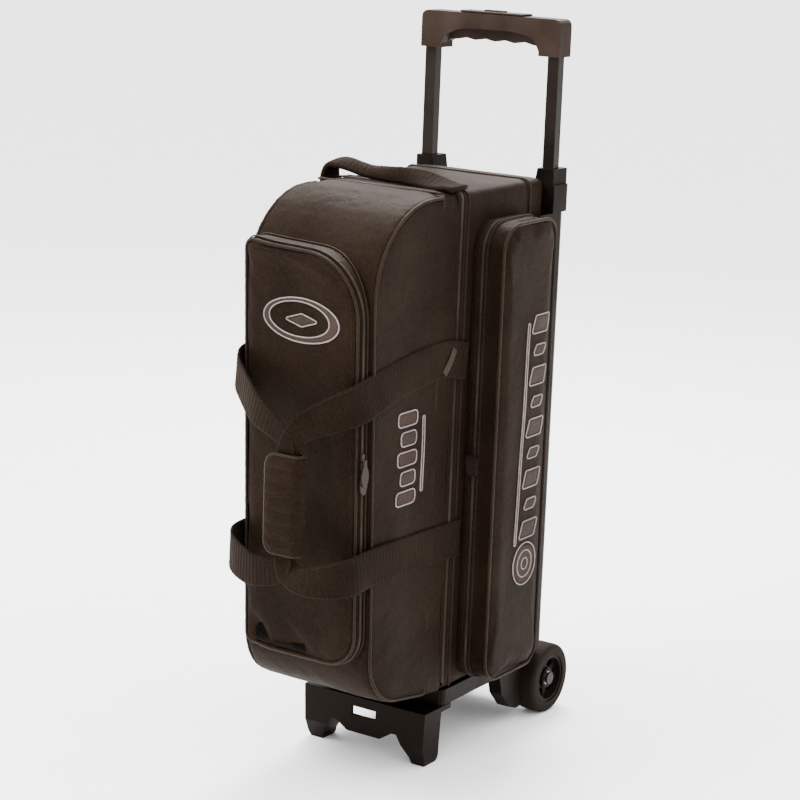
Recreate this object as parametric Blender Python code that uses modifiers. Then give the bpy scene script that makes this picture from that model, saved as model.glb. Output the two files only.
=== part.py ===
"""A rolling bowling bag for three balls carried one above the other.

The bag stands upright on a front stand and two rear wheels. +Z is up, the front faces -Y, and
the side pocket is on +X. Every length is in metres. The pieces are placed on the bag's own
centre plane first, and placeOnOrigin moves them all so that the origin is under the middle.
"""
import math

import bmesh
import bpy
from mathutils import Matrix, Vector

# Driving dimensions
ballDiameter = 0.2160
wall = 0.0030
clearance = 0.0005
gap = 0.0004

bagTop = 0.8700
trayBottom = 0.0882
trayTop = 0.1125
bodyBottom = 0.1130
zipperY = 0.0932
backY = 0.3280
sidePlay = 0.0005
halfWidth = ballDiameter / 2 + sidePlay + wall
bodyCorner = 0.0120

lidFrontTop = -0.1285
lidFrontBottom = -0.1025
lidCrownRadius = 0.1400
lidHeelRadius = 0.0900
lidHinge = (0.0, 0.0932, 0.1150)

wheelRadius = 0.0560
wheelInside = 0.0920
wheelOutside = 0.1320
axleY = 0.3915
axleRadius = 0.0050

rodX = 0.1095
rodY = 0.3456
rodWide = 0.0192
rodDeep = 0.0162
tubeWall = 0.0015
rodBottom = 0.6600
rodTop = 1.0850
coverTop = 0.8155
coverBottom = 0.1150

gripBottom = 1.0500
gripTop = 1.1060
gripHalf = 0.1235
gripLegInner = 0.0870
gripFront = 0.3300
gripBack = 0.3640

pocketFrontX = 0.1650
pocketSeamX = 0.1290
pocketLowY = 0.1300
pocketHighY = 0.2800
pocketLowZ = 0.1250
pocketHighZ = 0.8220

frontPocketDepth = 0.0145
frontPanelThick = 0.0060

webbingWidth = 0.0560
webbingThick = 0.0026
strapTurnY = 0.1180
strapHingeY = 0.1225
strapStandOff = 0.0034
gripX = 0.0300

bagCollection = "rolling_bowling_bag"
cutterCollection = "cutters"

colours = {
    "nylon": ((0.030, 0.024, 0.020), 0.80, 0.0),
    "webbing": ((0.026, 0.021, 0.018), 0.75, 0.0),
    "mouldedPlastic": ((0.040, 0.033, 0.029), 0.50, 0.0),
    "softGrip": ((0.050, 0.043, 0.038), 0.60, 0.0),
    "enamel": ((0.035, 0.030, 0.027), 0.40, 0.6),
    "steel": ((0.55, 0.55, 0.55), 0.35, 1.0),
    "foam": ((0.12, 0.12, 0.12), 0.95, 0.0),
    "board": ((0.20, 0.17, 0.14), 0.85, 0.0),
    "rubber": ((0.045, 0.038, 0.033), 0.70, 0.0),
    "zipper": ((0.035, 0.030, 0.026), 0.55, 0.0),
}


def clearScene():
    for item in list(bpy.data.objects):
        bpy.data.objects.remove(item, do_unlink=True)


def makeCollection(name):
    collection = bpy.data.collections.new(name)
    bpy.context.scene.collection.children.link(collection)
    return collection


def material(name):
    found = bpy.data.materials.get(name)
    if found:
        return found
    colour, roughness, metallic = colours[name]
    made = bpy.data.materials.new(name)
    made.use_nodes = True
    shader = made.node_tree.nodes["Principled BSDF"]
    shader.inputs["Base Color"].default_value = (*colour, 1.0)
    shader.inputs["Roughness"].default_value = roughness
    shader.inputs["Metallic"].default_value = metallic
    return made


# Outlines: a corner is (first, second, radius), and corners run counter-clockwise.

def grow(corners, distance):
    """Moves every edge of an outline outwards by a distance, and its radii with it."""
    grown = []
    count = len(corners)
    for index in range(count):
        before, here, after = (Vector(corners[(index + step) % count][:2]) for step in (-1, 0, 1))
        edgeIn = (here - before).normalized()
        edgeOut = (after - here).normalized()
        normalIn = Vector((edgeIn.y, -edgeIn.x))
        normalOut = Vector((edgeOut.y, -edgeOut.x))
        shift = (normalIn + normalOut) / (1.0 + normalIn.dot(normalOut))
        moved = here + shift * distance
        radius = corners[index][2]
        grown.append((moved.x, moved.y, max(radius + distance, 0.0) if radius else 0.0))
    return grown


def rounded(corners, steps=5):
    """Turns corners with radii into the points of an outline."""
    points = []
    count = len(corners)
    for index in range(count):
        before, here, after = (Vector(corners[(index + step) % count][:2]) for step in (-1, 0, 1))
        radius = corners[index][2]
        if radius <= 0.0:
            points.append((here.x, here.y))
            continue
        toBefore = (before - here).normalized()
        toAfter = (after - here).normalized()
        half = toBefore.angle(toAfter) / 2
        centre = here + (toBefore + toAfter).normalized() * radius / math.sin(half)
        start = here + toBefore * radius / math.tan(half) - centre
        sweep = math.pi - 2 * half
        turn = math.copysign(1.0, toBefore.cross(toAfter))
        for step in range(steps + 1):
            angle = -turn * sweep * step / steps
            spun = Matrix.Rotation(angle, 2) @ start
            points.append((centre.x + spun.x, centre.y + spun.y))
    return points


def rectangle(low, high, radius=0.0):
    return [(low[0], low[1], radius), (high[0], low[1], radius),
            (high[0], high[1], radius), (low[0], high[1], radius)]


# Solids

def addSolid(name, mesh, materialName=None):
    item = bpy.data.objects.new(name, mesh)
    if materialName:
        bpy.data.collections[bagCollection].objects.link(item)
        mesh.materials.append(material(materialName))
        mesh.shade_smooth()
        mesh.set_sharp_from_angle(angle=math.radians(35))
    else:
        bpy.data.collections[cutterCollection].objects.link(item)
        item.hide_render = True
        item.display_type = "WIRE"
    return item


def faceOutwards(shape):
    bmesh.ops.recalc_face_normals(shape, faces=shape.faces)
    if shape.calc_volume(signed=True) < 0:
        bmesh.ops.reverse_faces(shape, faces=shape.faces)


def soften(item, width, segments=2):
    bevel = item.modifiers.new("edges", "BEVEL")
    bevel.width = width
    bevel.segments = segments
    bevel.limit_method = "ANGLE"
    bevel.angle_limit = math.radians(50)
    return item


def box(name, low, high, materialName=None, edge=0.0):
    shape = bmesh.new()
    bmesh.ops.create_cube(shape, size=1.0)
    size = Vector(high) - Vector(low)
    middle = (Vector(high) + Vector(low)) / 2
    bmesh.ops.scale(shape, vec=size, verts=shape.verts)
    bmesh.ops.translate(shape, vec=middle, verts=shape.verts)
    mesh = bpy.data.meshes.new(name)
    shape.to_mesh(mesh)
    shape.free()
    item = addSolid(name, mesh, materialName)
    if edge:
        soften(item, edge)
    return item


axisFrames = {
    "X": Matrix(((0, 0, 1, 0), (1, 0, 0, 0), (0, 1, 0, 0), (0, 0, 0, 1))),
    "Y": Matrix(((1, 0, 0, 0), (0, 0, -1, 0), (0, 1, 0, 0), (0, 0, 0, 1))),
    "Z": Matrix.Identity(4),
}


def prism(name, points, axis, low, high, materialName=None, edge=0.0):
    """Extrudes a flat outline along an axis; the outline is in the other two axes, in order."""
    curve = bpy.data.curves.new(name, "CURVE")
    curve.dimensions = "2D"
    curve.fill_mode = "BOTH"
    curve.extrude = (high - low) / 2
    spline = curve.splines.new("POLY")
    spline.points.add(len(points) - 1)
    for point, (first, second) in zip(spline.points, points):
        point.co = (first, second, 0.0, 1.0)
    spline.use_cyclic_u = True
    flat = bpy.data.objects.new(name, curve)
    bpy.context.scene.collection.objects.link(flat)
    bpy.context.view_layer.update()
    ready = flat.evaluated_get(bpy.context.evaluated_depsgraph_get())
    mesh = bpy.data.meshes.new_from_object(ready)
    bpy.data.objects.remove(flat, do_unlink=True)
    bpy.data.curves.remove(curve)
    shape = bmesh.new()
    shape.from_mesh(mesh)
    bmesh.ops.remove_doubles(shape, verts=shape.verts, dist=0.00001)
    middle = (low + high) / 2
    offset = {"X": (middle, 0, 0), "Y": (0, middle, 0), "Z": (0, 0, middle)}[axis]
    shape.transform(Matrix.Translation(offset) @ axisFrames[axis])
    faceOutwards(shape)
    shape.to_mesh(mesh)
    shape.free()
    mesh.name = name
    mesh.materials.clear()
    item = addSolid(name, mesh, materialName)
    if edge:
        soften(item, edge)
    return item


def cylinderX(name, radius, low, high, middle, materialName=None, segments=28):
    shape = bmesh.new()
    bmesh.ops.create_cone(shape, cap_ends=True, segments=segments, radius1=radius,
                          radius2=radius, depth=high - low)
    shape.transform(Matrix.Translation(((low + high) / 2, *middle)) @ Matrix.Rotation(math.pi / 2, 4, "Y"))
    mesh = bpy.data.meshes.new(name)
    shape.to_mesh(mesh)
    shape.free()
    return addSolid(name, mesh, materialName)


def ball(name, radius, middle):
    shape = bmesh.new()
    bmesh.ops.create_uvsphere(shape, u_segments=28, v_segments=18, radius=radius)
    bmesh.ops.translate(shape, vec=middle, verts=shape.verts)
    mesh = bpy.data.meshes.new(name)
    shape.to_mesh(mesh)
    shape.free()
    return addSolid(name, mesh)


def turnedX(name, profile, middle, materialName, steps=36):
    """Turns a closed profile of (place along X, radius) about an axis parallel to X."""
    shape = bmesh.new()
    corners = [shape.verts.new((place, 0.0, radius)) for place, radius in profile]
    for here, after in zip(corners, corners[1:] + corners[:1]):
        shape.edges.new((here, after))
    bmesh.ops.spin(shape, geom=shape.verts[:] + shape.edges[:], cent=(0, 0, 0), axis=(1, 0, 0),
                   angle=2 * math.pi, steps=steps, use_merge=True)
    bmesh.ops.remove_doubles(shape, verts=shape.verts, dist=0.00001)
    faceOutwards(shape)
    bmesh.ops.translate(shape, vec=(0.0, *middle), verts=shape.verts)
    mesh = bpy.data.meshes.new(name)
    shape.to_mesh(mesh)
    shape.free()
    return addSolid(name, mesh, materialName)


def cut(item, *cutters):
    for cutter in cutters:
        change = item.modifiers.new(cutter.name, "BOOLEAN")
        change.operation = "DIFFERENCE"
        change.solver = "EXACT"
        change.object = cutter
    return item


def ribbon(name, stations, width, thick, materialName):
    """Lofts flat webbing along stations of (point, outward direction)."""
    shape = bmesh.new()
    rings = []
    count = len(stations)
    for index, (point, outward) in enumerate(stations):
        before = Vector(stations[max(index - 1, 0)][0])
        after = Vector(stations[min(index + 1, count - 1)][0])
        along = (after - before).normalized()
        across = along.cross(Vector(outward)).normalized() * width / 2
        lift = across.cross(along).normalized() * thick / 2
        corners = (-across - lift, across - lift, across + lift, -across + lift)
        rings.append([shape.verts.new(Vector(point) + corner) for corner in corners])
    for here, after in zip(rings, rings[1:]):
        for side in range(4):
            other = (side + 1) % 4
            shape.faces.new((here[side], here[other], after[other], after[side]))
    shape.faces.new(rings[0])
    shape.faces.new(rings[-1])
    faceOutwards(shape)
    mesh = bpy.data.meshes.new(name)
    shape.to_mesh(mesh)
    shape.free()
    return addSolid(name, mesh, materialName)


# Pivots: an empty on each joint's axis carries the pieces that move with it.

pivotPlaces = {}


def pivot(name, place, parentName=None):
    item = bpy.data.objects.new(name, None)
    item.empty_display_size = 0.02
    bpy.data.collections[bagCollection].objects.link(item)
    origin = Vector(place)
    pivotPlaces[name] = origin
    item.location = origin
    if parentName:
        item.parent = bpy.data.objects[parentName]
        item.location = origin - pivotPlaces[parentName]
    return item


def carry(pivotName, *items):
    for item in items:
        item.parent = bpy.data.objects[pivotName]
        item.matrix_parent_inverse = Matrix.Translation(-pivotPlaces[pivotName])


sides = (("left", -1), ("right", 1))


def between(side, inner, outer):
    """The low and high X of a span that is mirrored on the left."""
    return (side * inner, side * outer) if side > 0 else (side * outer, side * inner)


# Undercarriage

def addBaseTray():
    tongue = 0.0860
    outline = [(-halfWidth + 0.001, 0.0957, 0.012), (halfWidth - 0.001, 0.0957, 0.012),
               (halfWidth - 0.001, 0.3330, 0.010), (tongue, 0.3330, 0.0), (tongue, 0.3680, 0.004),
               (-tongue, 0.3680, 0.004), (-tongue, 0.3330, 0.0), (-halfWidth + 0.001, 0.3330, 0.010)]
    tray = prism("base_tray", rounded(outline, 3), "Z", trayBottom, trayTop, "mouldedPlastic")
    floor = 0.0040
    hollow = box("tray_hollow", (-0.104, 0.103, trayBottom + floor), (0.104, 0.327, trayTop + 0.01))
    return cut(tray, hollow)


def addFrontStand():
    front, back = 0.0520, 0.1240
    legBack = 0.0980
    half = [(0.0300, 0.0300, 0.0), (0.0520, 0.0440, 0.0), (0.0600, 0.0440, 0.0),
            (0.0800, 0.0100, 0.0), (0.0820, 0.0, 0.0), (0.1050, 0.0, 0.0), (0.1080, 0.0110, 0.0),
            (0.1110, 0.0877, 0.0)]
    mirrored = [(-x, z, radius) for x, z, radius in reversed(half)]
    stand = prism("front_stand", rounded(half + mirrored), "Y", front, back, "mouldedPlastic")
    webBack = front + 0.0060
    behind = box("stand_back_space", (-0.2, legBack, -0.01), (0.2, 0.2, 0.0790))
    middle = box("stand_middle_space", (-0.0620, webBack, -0.01), (0.0620, 0.2, 0.0790))
    slot = box("stand_slot", (-0.0220, 0.0, 0.0580), (0.0220, webBack + 0.01, 0.0720))
    heel = prism("stand_heel", [(0.0760, -0.01), (0.2, -0.01), (0.2, 0.06)], "X", -0.2, 0.2)
    toe = prism("stand_toe", [(0.0450, -0.01), (0.0680, -0.01), (0.0450, 0.0480)], "X", -0.2, 0.2)
    return soften(cut(stand, behind, middle, slot, heel, toe), 0.0015, 1)


def addAxleHousing():
    outline = [(0.3000, 0.0878), (0.3000, 0.0700), (0.3550, 0.0380), (0.4050, 0.0380),
               (0.4180, 0.0560), (0.4180, 0.0900), (0.4050, 0.1115), (0.3684, 0.1115),
               (0.3684, 0.0878)]
    housing = prism("axle_housing", outline, "X", -0.0860, 0.0860, "mouldedPlastic")
    inside = box("housing_inside", (-0.0800, 0.3060, 0.0), (0.0800, 0.4120, 0.0820))
    bore = cylinderX("axle_bore", axleRadius + gap, -0.1, 0.1, (axleY, wheelRadius))
    return cut(housing, inside, bore)


def addFenders():
    reach = wheelRadius + 0.0045
    start = math.asin((0.0878 - wheelRadius) / reach)
    end = math.asin((0.0210 - wheelRadius) / reach)
    arc = []
    for step in range(7):
        angle = start + (end - start) * step / 6
        arc.append((axleY - reach * math.cos(angle), wheelRadius + reach * math.sin(angle)))
    outline = [(0.2680, 0.0878), (0.2760, 0.0560), (0.3020, 0.0280), (0.3240, 0.0200)] + arc[::-1]
    for word, side in sides:
        low, high = between(side, 0.0866, 0.1095)
        prism("wheel_fender_" + word, outline, "X", low, high, "mouldedPlastic", 0.0010)


def addWheels():
    middle = (axleY, wheelRadius)
    cylinderX("axle", axleRadius, -0.1270, 0.1270, middle, "steel", 20)
    shoulder = 0.0070
    rimRadius = 0.0385
    hubRadius = 0.0160
    for word, side in sides:
        tread = [(wheelInside, rimRadius)]
        for step in range(4):
            angle = math.pi / 2 * step / 3
            tread.append((wheelInside + shoulder * (1 - math.cos(angle)),
                          wheelRadius - shoulder * (1 - math.sin(angle))))
        for step in range(4):
            angle = math.pi / 2 * step / 3
            tread.append((wheelOutside - shoulder * (1 - math.sin(angle)),
                          wheelRadius - shoulder * (1 - math.cos(angle))))
        tread.append((wheelOutside, rimRadius))
        tyre = turnedX("wheel_tyre_" + word, [(side * x, r) for x, r in tread], middle, "rubber")
        rimProfile = [(0.0935, hubRadius - 0.0050), (0.0935, hubRadius), (0.1140, hubRadius),
                      (0.1140, rimRadius - 0.0045), (0.0940, rimRadius - 0.0045),
                      (0.0940, rimRadius - gap), (0.1300, rimRadius - gap),
                      (0.1300, rimRadius - 0.0045), (0.1205, rimRadius - 0.0055),
                      (0.1205, hubRadius), (0.1260, hubRadius), (0.1260, hubRadius - 0.0050)]
        rim = turnedX("wheel_rim_" + word, [(side * x, r) for x, r in rimProfile], middle,
                      "mouldedPlastic")
        windows = []
        for turn in range(6):
            angle = math.radians(60 * turn)
            spread = ((0.0185, -14), (0.0310, -21), (0.0325, 0), (0.0310, 21), (0.0185, 14))
            outline = [(middle[0] + r * math.cos(angle + math.radians(a)),
                        middle[1] + r * math.sin(angle + math.radians(a))) for r, a in spread]
            low, high = between(side, 0.1, 0.1300)
            windows.append(prism("rim_window_%s_%d" % (word, turn), outline, "X", low, high))
        cut(rim, *windows)
        ring = [(0.0980, 0.0055), (0.0980, 0.0106), (0.1255, 0.0106), (0.1255, 0.0055)]
        bearing = turnedX("wheel_bearing_" + word, [(side * x, r) for x, r in ring], middle,
                          "steel", 24)
        low, high = between(side, 0.1274, 0.1310)
        cylinderX("axle_cap_" + word, 0.0100, low, high, middle, "enamel", 24)
        pivot("wheel_spin_" + word, (side * (wheelInside + wheelOutside) / 2, *middle))
        carry("wheel_spin_" + word, tyre, rim, bearing)


# Fabric body

def rearBodyBlock(name, low, high, radius, materialName=None):
    """A block whose upright rear edges, top edges and lower edges are rounded."""
    shape = bmesh.new()
    bmesh.ops.create_cube(shape, size=1.0)
    bmesh.ops.scale(shape, vec=Vector(high) - Vector(low), verts=shape.verts)
    bmesh.ops.translate(shape, vec=(Vector(high) + Vector(low)) / 2, verts=shape.verts)
    front = [edge for edge in shape.edges if all(vert.co.y < low[1] + 0.001 for vert in edge.verts)]
    rest = [edge for edge in shape.edges if edge not in front]
    bmesh.ops.bevel(shape, geom=rest, offset=radius, segments=4, profile=0.5, affect="EDGES")
    mesh = bpy.data.meshes.new(name)
    shape.to_mesh(mesh)
    shape.free()
    return addSolid(name, mesh, materialName)


def addRearBody():
    front = zipperY + 0.0023
    shell = rearBodyBlock("rear_body_shell", (-halfWidth, front, bodyBottom),
                          (halfWidth, backY, bagTop), bodyCorner, "nylon")
    hollow = rearBodyBlock("rear_body_hollow", (-halfWidth + wall, front - 0.05, bodyBottom + wall),
                           (halfWidth - wall, backY - wall, bagTop - wall), bodyCorner - 0.0040)
    return cut(shell, hollow)


def lidCorners():
    rear = zipperY - 0.0027
    return [(rear, bagTop + 0.0005, 0.0), (lidFrontTop, bagTop + 0.0015, lidCrownRadius),
            (lidFrontBottom, 0.1480, lidHeelRadius), (rear, bodyBottom + 0.0005, 0.0)]


def addLid():
    corners = lidCorners()
    lid = prism("lid_shell", rounded(corners, 9), "X", -halfWidth, halfWidth, "nylon")
    inner = grow(corners, -wall)
    inner[0] = (inner[0][0] + 0.05, inner[0][1], 0.0)
    inner[-1] = (inner[-1][0] + 0.05, inner[-1][1], 0.0)
    hollow = prism("lid_hollow", rounded(inner, 9), "X", -halfWidth + wall, halfWidth - wall)
    pivot("lid_hinge", lidHinge)
    carry("lid_hinge", cut(lid, hollow))


def addMainZipper():
    outside = halfWidth + 0.0015
    inside = halfWidth - wall + 0.0005
    top = bagTop + 0.0022
    under = bagTop - wall + 0.0005
    foot = 0.1300
    outer = [(-outside, foot, 0.0), (-outside, top, 0.0170), (outside, top, 0.0170),
             (outside, foot, 0.0)]
    inner = [(inside, foot, 0.0), (inside, under, 0.0140), (-inside, under, 0.0140),
             (-inside, foot, 0.0)]
    points = rounded(outer[::-1], 4)[::-1] + rounded(inner, 4)
    prism("main_zipper", points, "Y", zipperY - 0.0021, zipperY + 0.0021, "zipper")


def addBallTower():
    low = bodyBottom + wall + gap
    pitch = (bagTop - wall - low) / 3
    cupSide = 0.1020
    cupFront = zipperY + 0.0070
    boardFront = 0.3192
    box("back_board", (-0.1000, boardFront, bodyBottom + bodyCorner),
        (0.1000, boardFront + 0.0040, bagTop - bodyCorner), "board")
    cupBack = boardFront - 0.0022
    middleY = (cupFront + cupBack) / 2
    seat = 0.0100
    for index, word in enumerate(("lower", "middle", "upper")):
        floor = low + pitch * index
        cup = box("ball_cup_" + word, (-cupSide, cupFront, floor),
                  (cupSide, cupBack, floor + 0.0400), "foam")
        radius = ballDiameter / 2 + clearance
        cut(cup, ball("ball_seat_" + word, radius, (0.0, middleY, floor + seat + radius)))
        if index:
            box("ball_shelf_" + word, (-cupSide, cupFront, floor - 0.0045),
                (cupSide, cupBack, floor - 0.0005), "board")


# Rear frame and telescopic handle

def hollowBar(name, side, halfWide, halfDeep, low, high, thick, materialName):
    middle = side * rodX
    bar = box(name, (middle - halfWide, rodY - halfDeep, low),
              (middle + halfWide, rodY + halfDeep, high), materialName)
    wide = halfWide - thick
    deep = halfDeep - thick
    bore = box(name + "_bore", (middle - wide, rodY - deep, low - 0.01),
               (middle + wide, rodY + deep, high + 0.01))
    return cut(bar, bore)


def addRearFrame():
    half = 0.1250
    front, back, corner = 0.2950, 0.3690, 0.0120
    outer = [(-half, front, 0.0), (-half, back, corner), (half, back, corner), (half, front, 0.0)]
    inner = [(half - wall, front, 0.0), (half - wall, back - wall, corner - wall),
             (-half + wall, back - wall, corner - wall), (-half + wall, front, 0.0)]
    points = rounded(outer[::-1], 3)[::-1] + rounded(inner, 3)
    prism("back_cover", points, "Z", coverBottom, coverTop, "mouldedPlastic")

    foot = [(-0.0840, trayTop + gap), (0.0840, trayTop + gap), (0.0840, coverBottom + gap),
            (0.1214, coverBottom + gap), (0.1214, 0.1406), (-0.1214, 0.1406),
            (-0.1214, coverBottom + gap), (-0.0840, coverBottom + gap)]
    prism("tube_foot", foot, "Y", rodY - 0.0105, rodY + 0.0105, "mouldedPlastic")

    halfWide = rodWide / 2 + 0.0006 + tubeWall
    halfDeep = rodDeep / 2 + 0.0006 + tubeWall
    for word, side in sides:
        hollowBar("outer_tube_" + word, side, halfWide, halfDeep, 0.1410, coverTop - gap,
                  tubeWall, "steel")

    collarIn, collarOut = 0.0950, 0.1240
    bar = 0.1265
    outline = [(-bar, 0.8160), (bar, 0.8160), (bar, 0.8580), (collarOut, 0.8580),
               (collarOut, 0.8820), (collarIn, 0.8820), (collarIn - 0.004, 0.8580),
               (-collarIn + 0.004, 0.8580), (-collarIn, 0.8820), (-collarOut, 0.8820),
               (-collarOut, 0.8580), (-bar, 0.8580)]
    bracket = prism("top_bracket", outline, "Y", 0.3310, 0.3710, "mouldedPlastic")
    for word, side in sides:
        middle = side * rodX
        wide = rodWide / 2 + gap
        deep = rodDeep / 2 + gap
        cut(bracket, box("rod_hole_" + word, (middle - wide, rodY - deep, 0.8),
                         (middle + wide, rodY + deep, 0.9)))
    return bracket


def gripOutline(lowerEdge):
    """A grip half with two legs; lowerEdge gives the height of its lower side at a place."""
    count = 20
    points = [(-gripHalf, gripBottom), (-gripLegInner, gripBottom)]
    for step in range(count + 1):
        place = -gripLegInner + 2 * gripLegInner * step / count
        points.append((place, lowerEdge(place / gripLegInner)))
    points.append((gripLegInner, gripBottom))
    corners = [(gripHalf, gripBottom, 0.0), (gripHalf, gripTop, 0.0100), (-gripHalf, gripTop, 0.0100)]
    return points + rounded(corners + [(-gripHalf, gripBottom, 0.0)], 3)[:-1]


def archEdge(ratio):
    return 1.0570 + 0.0260 * math.sqrt(max(1.0 - ratio ** 4, 0.0))


def fingerEdge(ratio):
    grooves = 0.0016 * math.cos(5 * math.pi * ratio)
    return 1.0580 + 0.0080 * math.sqrt(max(1.0 - ratio ** 8, 0.0)) - grooves


def addHandle():
    pivot("handle_travel", (0.0, rodY, coverTop))
    pieces = []
    for word, side in sides:
        rod = hollowBar("inner_rod_" + word, side, rodWide / 2, rodDeep / 2, rodBottom, rodTop,
                        tubeWall, "enamel")
        middle = side * rodX
        stop = box("rod_stop_" + word, (middle - rodWide / 2, rodY - rodDeep / 2, rodBottom - 0.0200),
                   (middle + rodWide / 2, rodY + rodDeep / 2, rodBottom - gap), "mouldedPlastic", 0.001)
        pieces += [rod, stop]

    split = rodY
    front = prism("grip_shell_front", gripOutline(archEdge), "Y", gripFront, split - gap / 2,
                  "mouldedPlastic")
    rear = prism("grip_shell_rear", gripOutline(fingerEdge), "Y", split + gap / 2, gripBack,
                 "softGrip")
    padHalf = 0.0560
    pad = box("grip_top_pad", (-padHalf, gripFront + 0.002, gripTop + gap),
              (padHalf, gripBack - 0.002, gripTop + 0.0036), "softGrip", 0.0012)
    channel = box("yoke_channel", (-0.1135, split - 0.0045, rodTop - 0.002),
                  (0.1135, split + 0.0045, 1.0978))
    well = box("button_well", (-0.0186, split - 0.0061, 1.0900), (0.0186, split + 0.0061, 1.2))
    holes = []
    for word, side in sides:
        wide = rodWide / 2 + gap
        deep = rodDeep / 2 + gap
        holes.append(box("grip_socket_" + word, (side * rodX - wide, rodY - deep, 1.0),
                         (side * rodX + wide, rodY + deep, rodTop + gap)))
    for shell in (front, rear):
        cut(shell, channel, well, *holes)
    cut(pad, well)
    pieces += [front, rear, pad]
    carry("handle_travel", *pieces)

    pivot("button_press", (0.0, rodY, 1.1120), "handle_travel")
    button = box("release_button", (-0.0180, split - 0.0055, 1.0968), (0.0180, split + 0.0055, 1.1120),
                 "softGrip", 0.0012)
    yoke = box("release_yoke", (-0.1130, split - 0.0030, 1.0915), (0.1130, split + 0.0030, 1.0964),
               "mouldedPlastic")
    pressed = [button, yoke]
    for word, side in sides:
        middle = side * rodX
        pressed.append(box("lock_rod_" + word, (middle - 0.0025, rodY - 0.0025, 0.6680),
                           (middle + 0.0025, rodY + 0.0025, 1.0911), "steel"))
    carry("button_press", *pressed)


# Pockets

def addSidePocket():
    corners = [(pocketLowY, pocketLowZ, 0.0350), (pocketHighY, pocketLowZ, 0.0300),
               (pocketHighY, pocketHighZ, 0.0300), (pocketLowY, pocketHighZ, 0.0420)]
    outer = rounded(corners, 5)
    inner = rounded(grow(corners, -0.0040), 5)
    seat = halfWidth + gap
    base = prism("side_pocket_base", outer, "X", seat, pocketSeamX, "nylon")
    cut(base, prism("side_pocket_mouth", inner, "X", seat - 0.01, pocketSeamX + 0.01))
    seam = pocketSeamX + gap
    cover = prism("side_pocket_cover", outer, "X", seam, pocketFrontX, "nylon")
    cut(cover, prism("side_pocket_hollow", inner, "X", seam - 0.01, pocketFrontX - wall))
    pivot("side_pocket_hinge", (seam, pocketHighY, (pocketLowZ + pocketHighZ) / 2))
    carry("side_pocket_hinge", cover)


def frontTilt():
    """The rotation that lays an upright piece against the sloping front of the lid."""
    angle = math.atan2(lidFrontBottom - lidFrontTop, bagTop + 0.0015 - 0.1480)
    place = Matrix.Translation((0.0, lidFrontTop, 0.7300))
    return place @ Matrix.Rotation(angle, 4, "X") @ place.inverted()


def addFrontPocket():
    corners = [(-0.1000, 0.2050, 0.0150), (0.1040, 0.2050, 0.0500), (0.1040, 0.8000, 0.0900),
               (-0.1000, 0.8080, 0.0150)]
    face = lidFrontTop - frontPocketDepth
    clearOfLid = prism("lid_clearance", rounded(grow(lidCorners(), gap), 9), "X", -0.2, 0.2)
    gusset = prism("front_pocket_gusset", rounded(corners), "Y", face, -0.0600, "nylon")
    mouth = prism("front_pocket_mouth", rounded(grow(corners, -0.0040)), "Y", face - 0.01, 0.0)
    panel = prism("front_pocket_panel", rounded(grow(corners, -0.0030)), "Y",
                  face - gap - frontPanelThick, face - gap, "nylon", 0.0020)
    tilt = frontTilt()
    for item in (gusset, mouth, panel):
        item.data.transform(tilt)
    cut(gusset, mouth, clearOfLid)
    carry("lid_hinge", gusset, panel)


# Zipper sliders and their pulls

def addSlider(name, place, outward, pivotParent, pullShape, pullLift):
    """A slider at a place on a zipper that runs up, with its pull hanging down beside it."""
    across = Vector((0, 0, 1)).cross(Vector(outward))
    inward = -Vector(outward)
    turn = Matrix((across, inward, Vector((0, 0, 1)))).transposed().to_4x4()
    middle = Vector(place)
    slider = box("zip_slider_" + name, (-0.0038, -0.0040, -0.0055), (0.0038, 0.0, 0.0055), "enamel", 0.0010)
    slider.data.transform(Matrix.Translation(middle) @ turn)
    pull = pullShape("zip_pull_" + name)
    hang = Vector((0.0, -0.0044 - pullLift, -0.0030))
    pull.data.transform(Matrix.Translation(middle) @ turn @ Matrix.Translation(hang))
    pivot("slider_travel_" + name, middle, pivotParent)
    carry("slider_travel_" + name, slider)
    pivot("pull_swing_" + name, middle + turn.to_3x3() @ hang, "slider_travel_" + name)
    carry("pull_swing_" + name, pull)


def ovalPull(name):
    """A flat oval tag on a narrow neck, hanging from its top edge."""
    points = [(-0.0030, 0.0), (0.0030, 0.0)]
    long, wide = 0.0150, 0.0085
    for step in range(15):
        angle = math.radians(65 - 310 * step / 14)
        points.append((wide * math.cos(angle), -0.0240 + long * math.sin(angle)))
    return prism(name, points[::-1], "Y", -0.0016, 0.0, "enamel")


def ringPull(name):
    """A flat ring that hangs from the slider."""
    shape = bmesh.new()
    bmesh.ops.create_cone(shape, cap_ends=True, segments=20, radius1=0.0105, radius2=0.0105,
                          depth=0.0018)
    shape.transform(Matrix.Translation((0.0, -0.0009, -0.0105)) @ Matrix.Rotation(math.pi / 2, 4, "X"))
    mesh = bpy.data.meshes.new(name)
    shape.to_mesh(mesh)
    shape.free()
    ring = addSolid(name, mesh, "enamel")
    hole = [(0.0078 * math.cos(math.radians(18 * step)), -0.0105 + 0.0078 * math.sin(math.radians(18 * step)))
            for step in range(20)]
    return cut(ring, prism(name + "_hole", hole, "Y", -0.01, 0.01))


def addSliders():
    tilt = frontTilt()
    frontFace = lidFrontTop - frontPocketDepth + 0.0045
    for word, height, lift in (("front_upper", 0.5200, 0.0022), ("front_lower", 0.5080, 0.0)):
        place = tilt @ Vector((0.1040 + gap, frontFace, height))
        addSlider(word, place, (1, 0, 0), "lid_hinge", ovalPull, lift)
    for word, height, lift in (("side_upper", 0.4820, 0.0024), ("side_lower", 0.4700, 0.0)):
        addSlider(word, (pocketSeamX, pocketLowY - gap, height), (0, -1, 0), None, ringPull, lift)
    addSlider("main", (-halfWidth - 0.0015 - gap, zipperY, 0.4800), (-1, 0, 0), None, ovalPull, 0.0)


# Carrying straps

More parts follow.
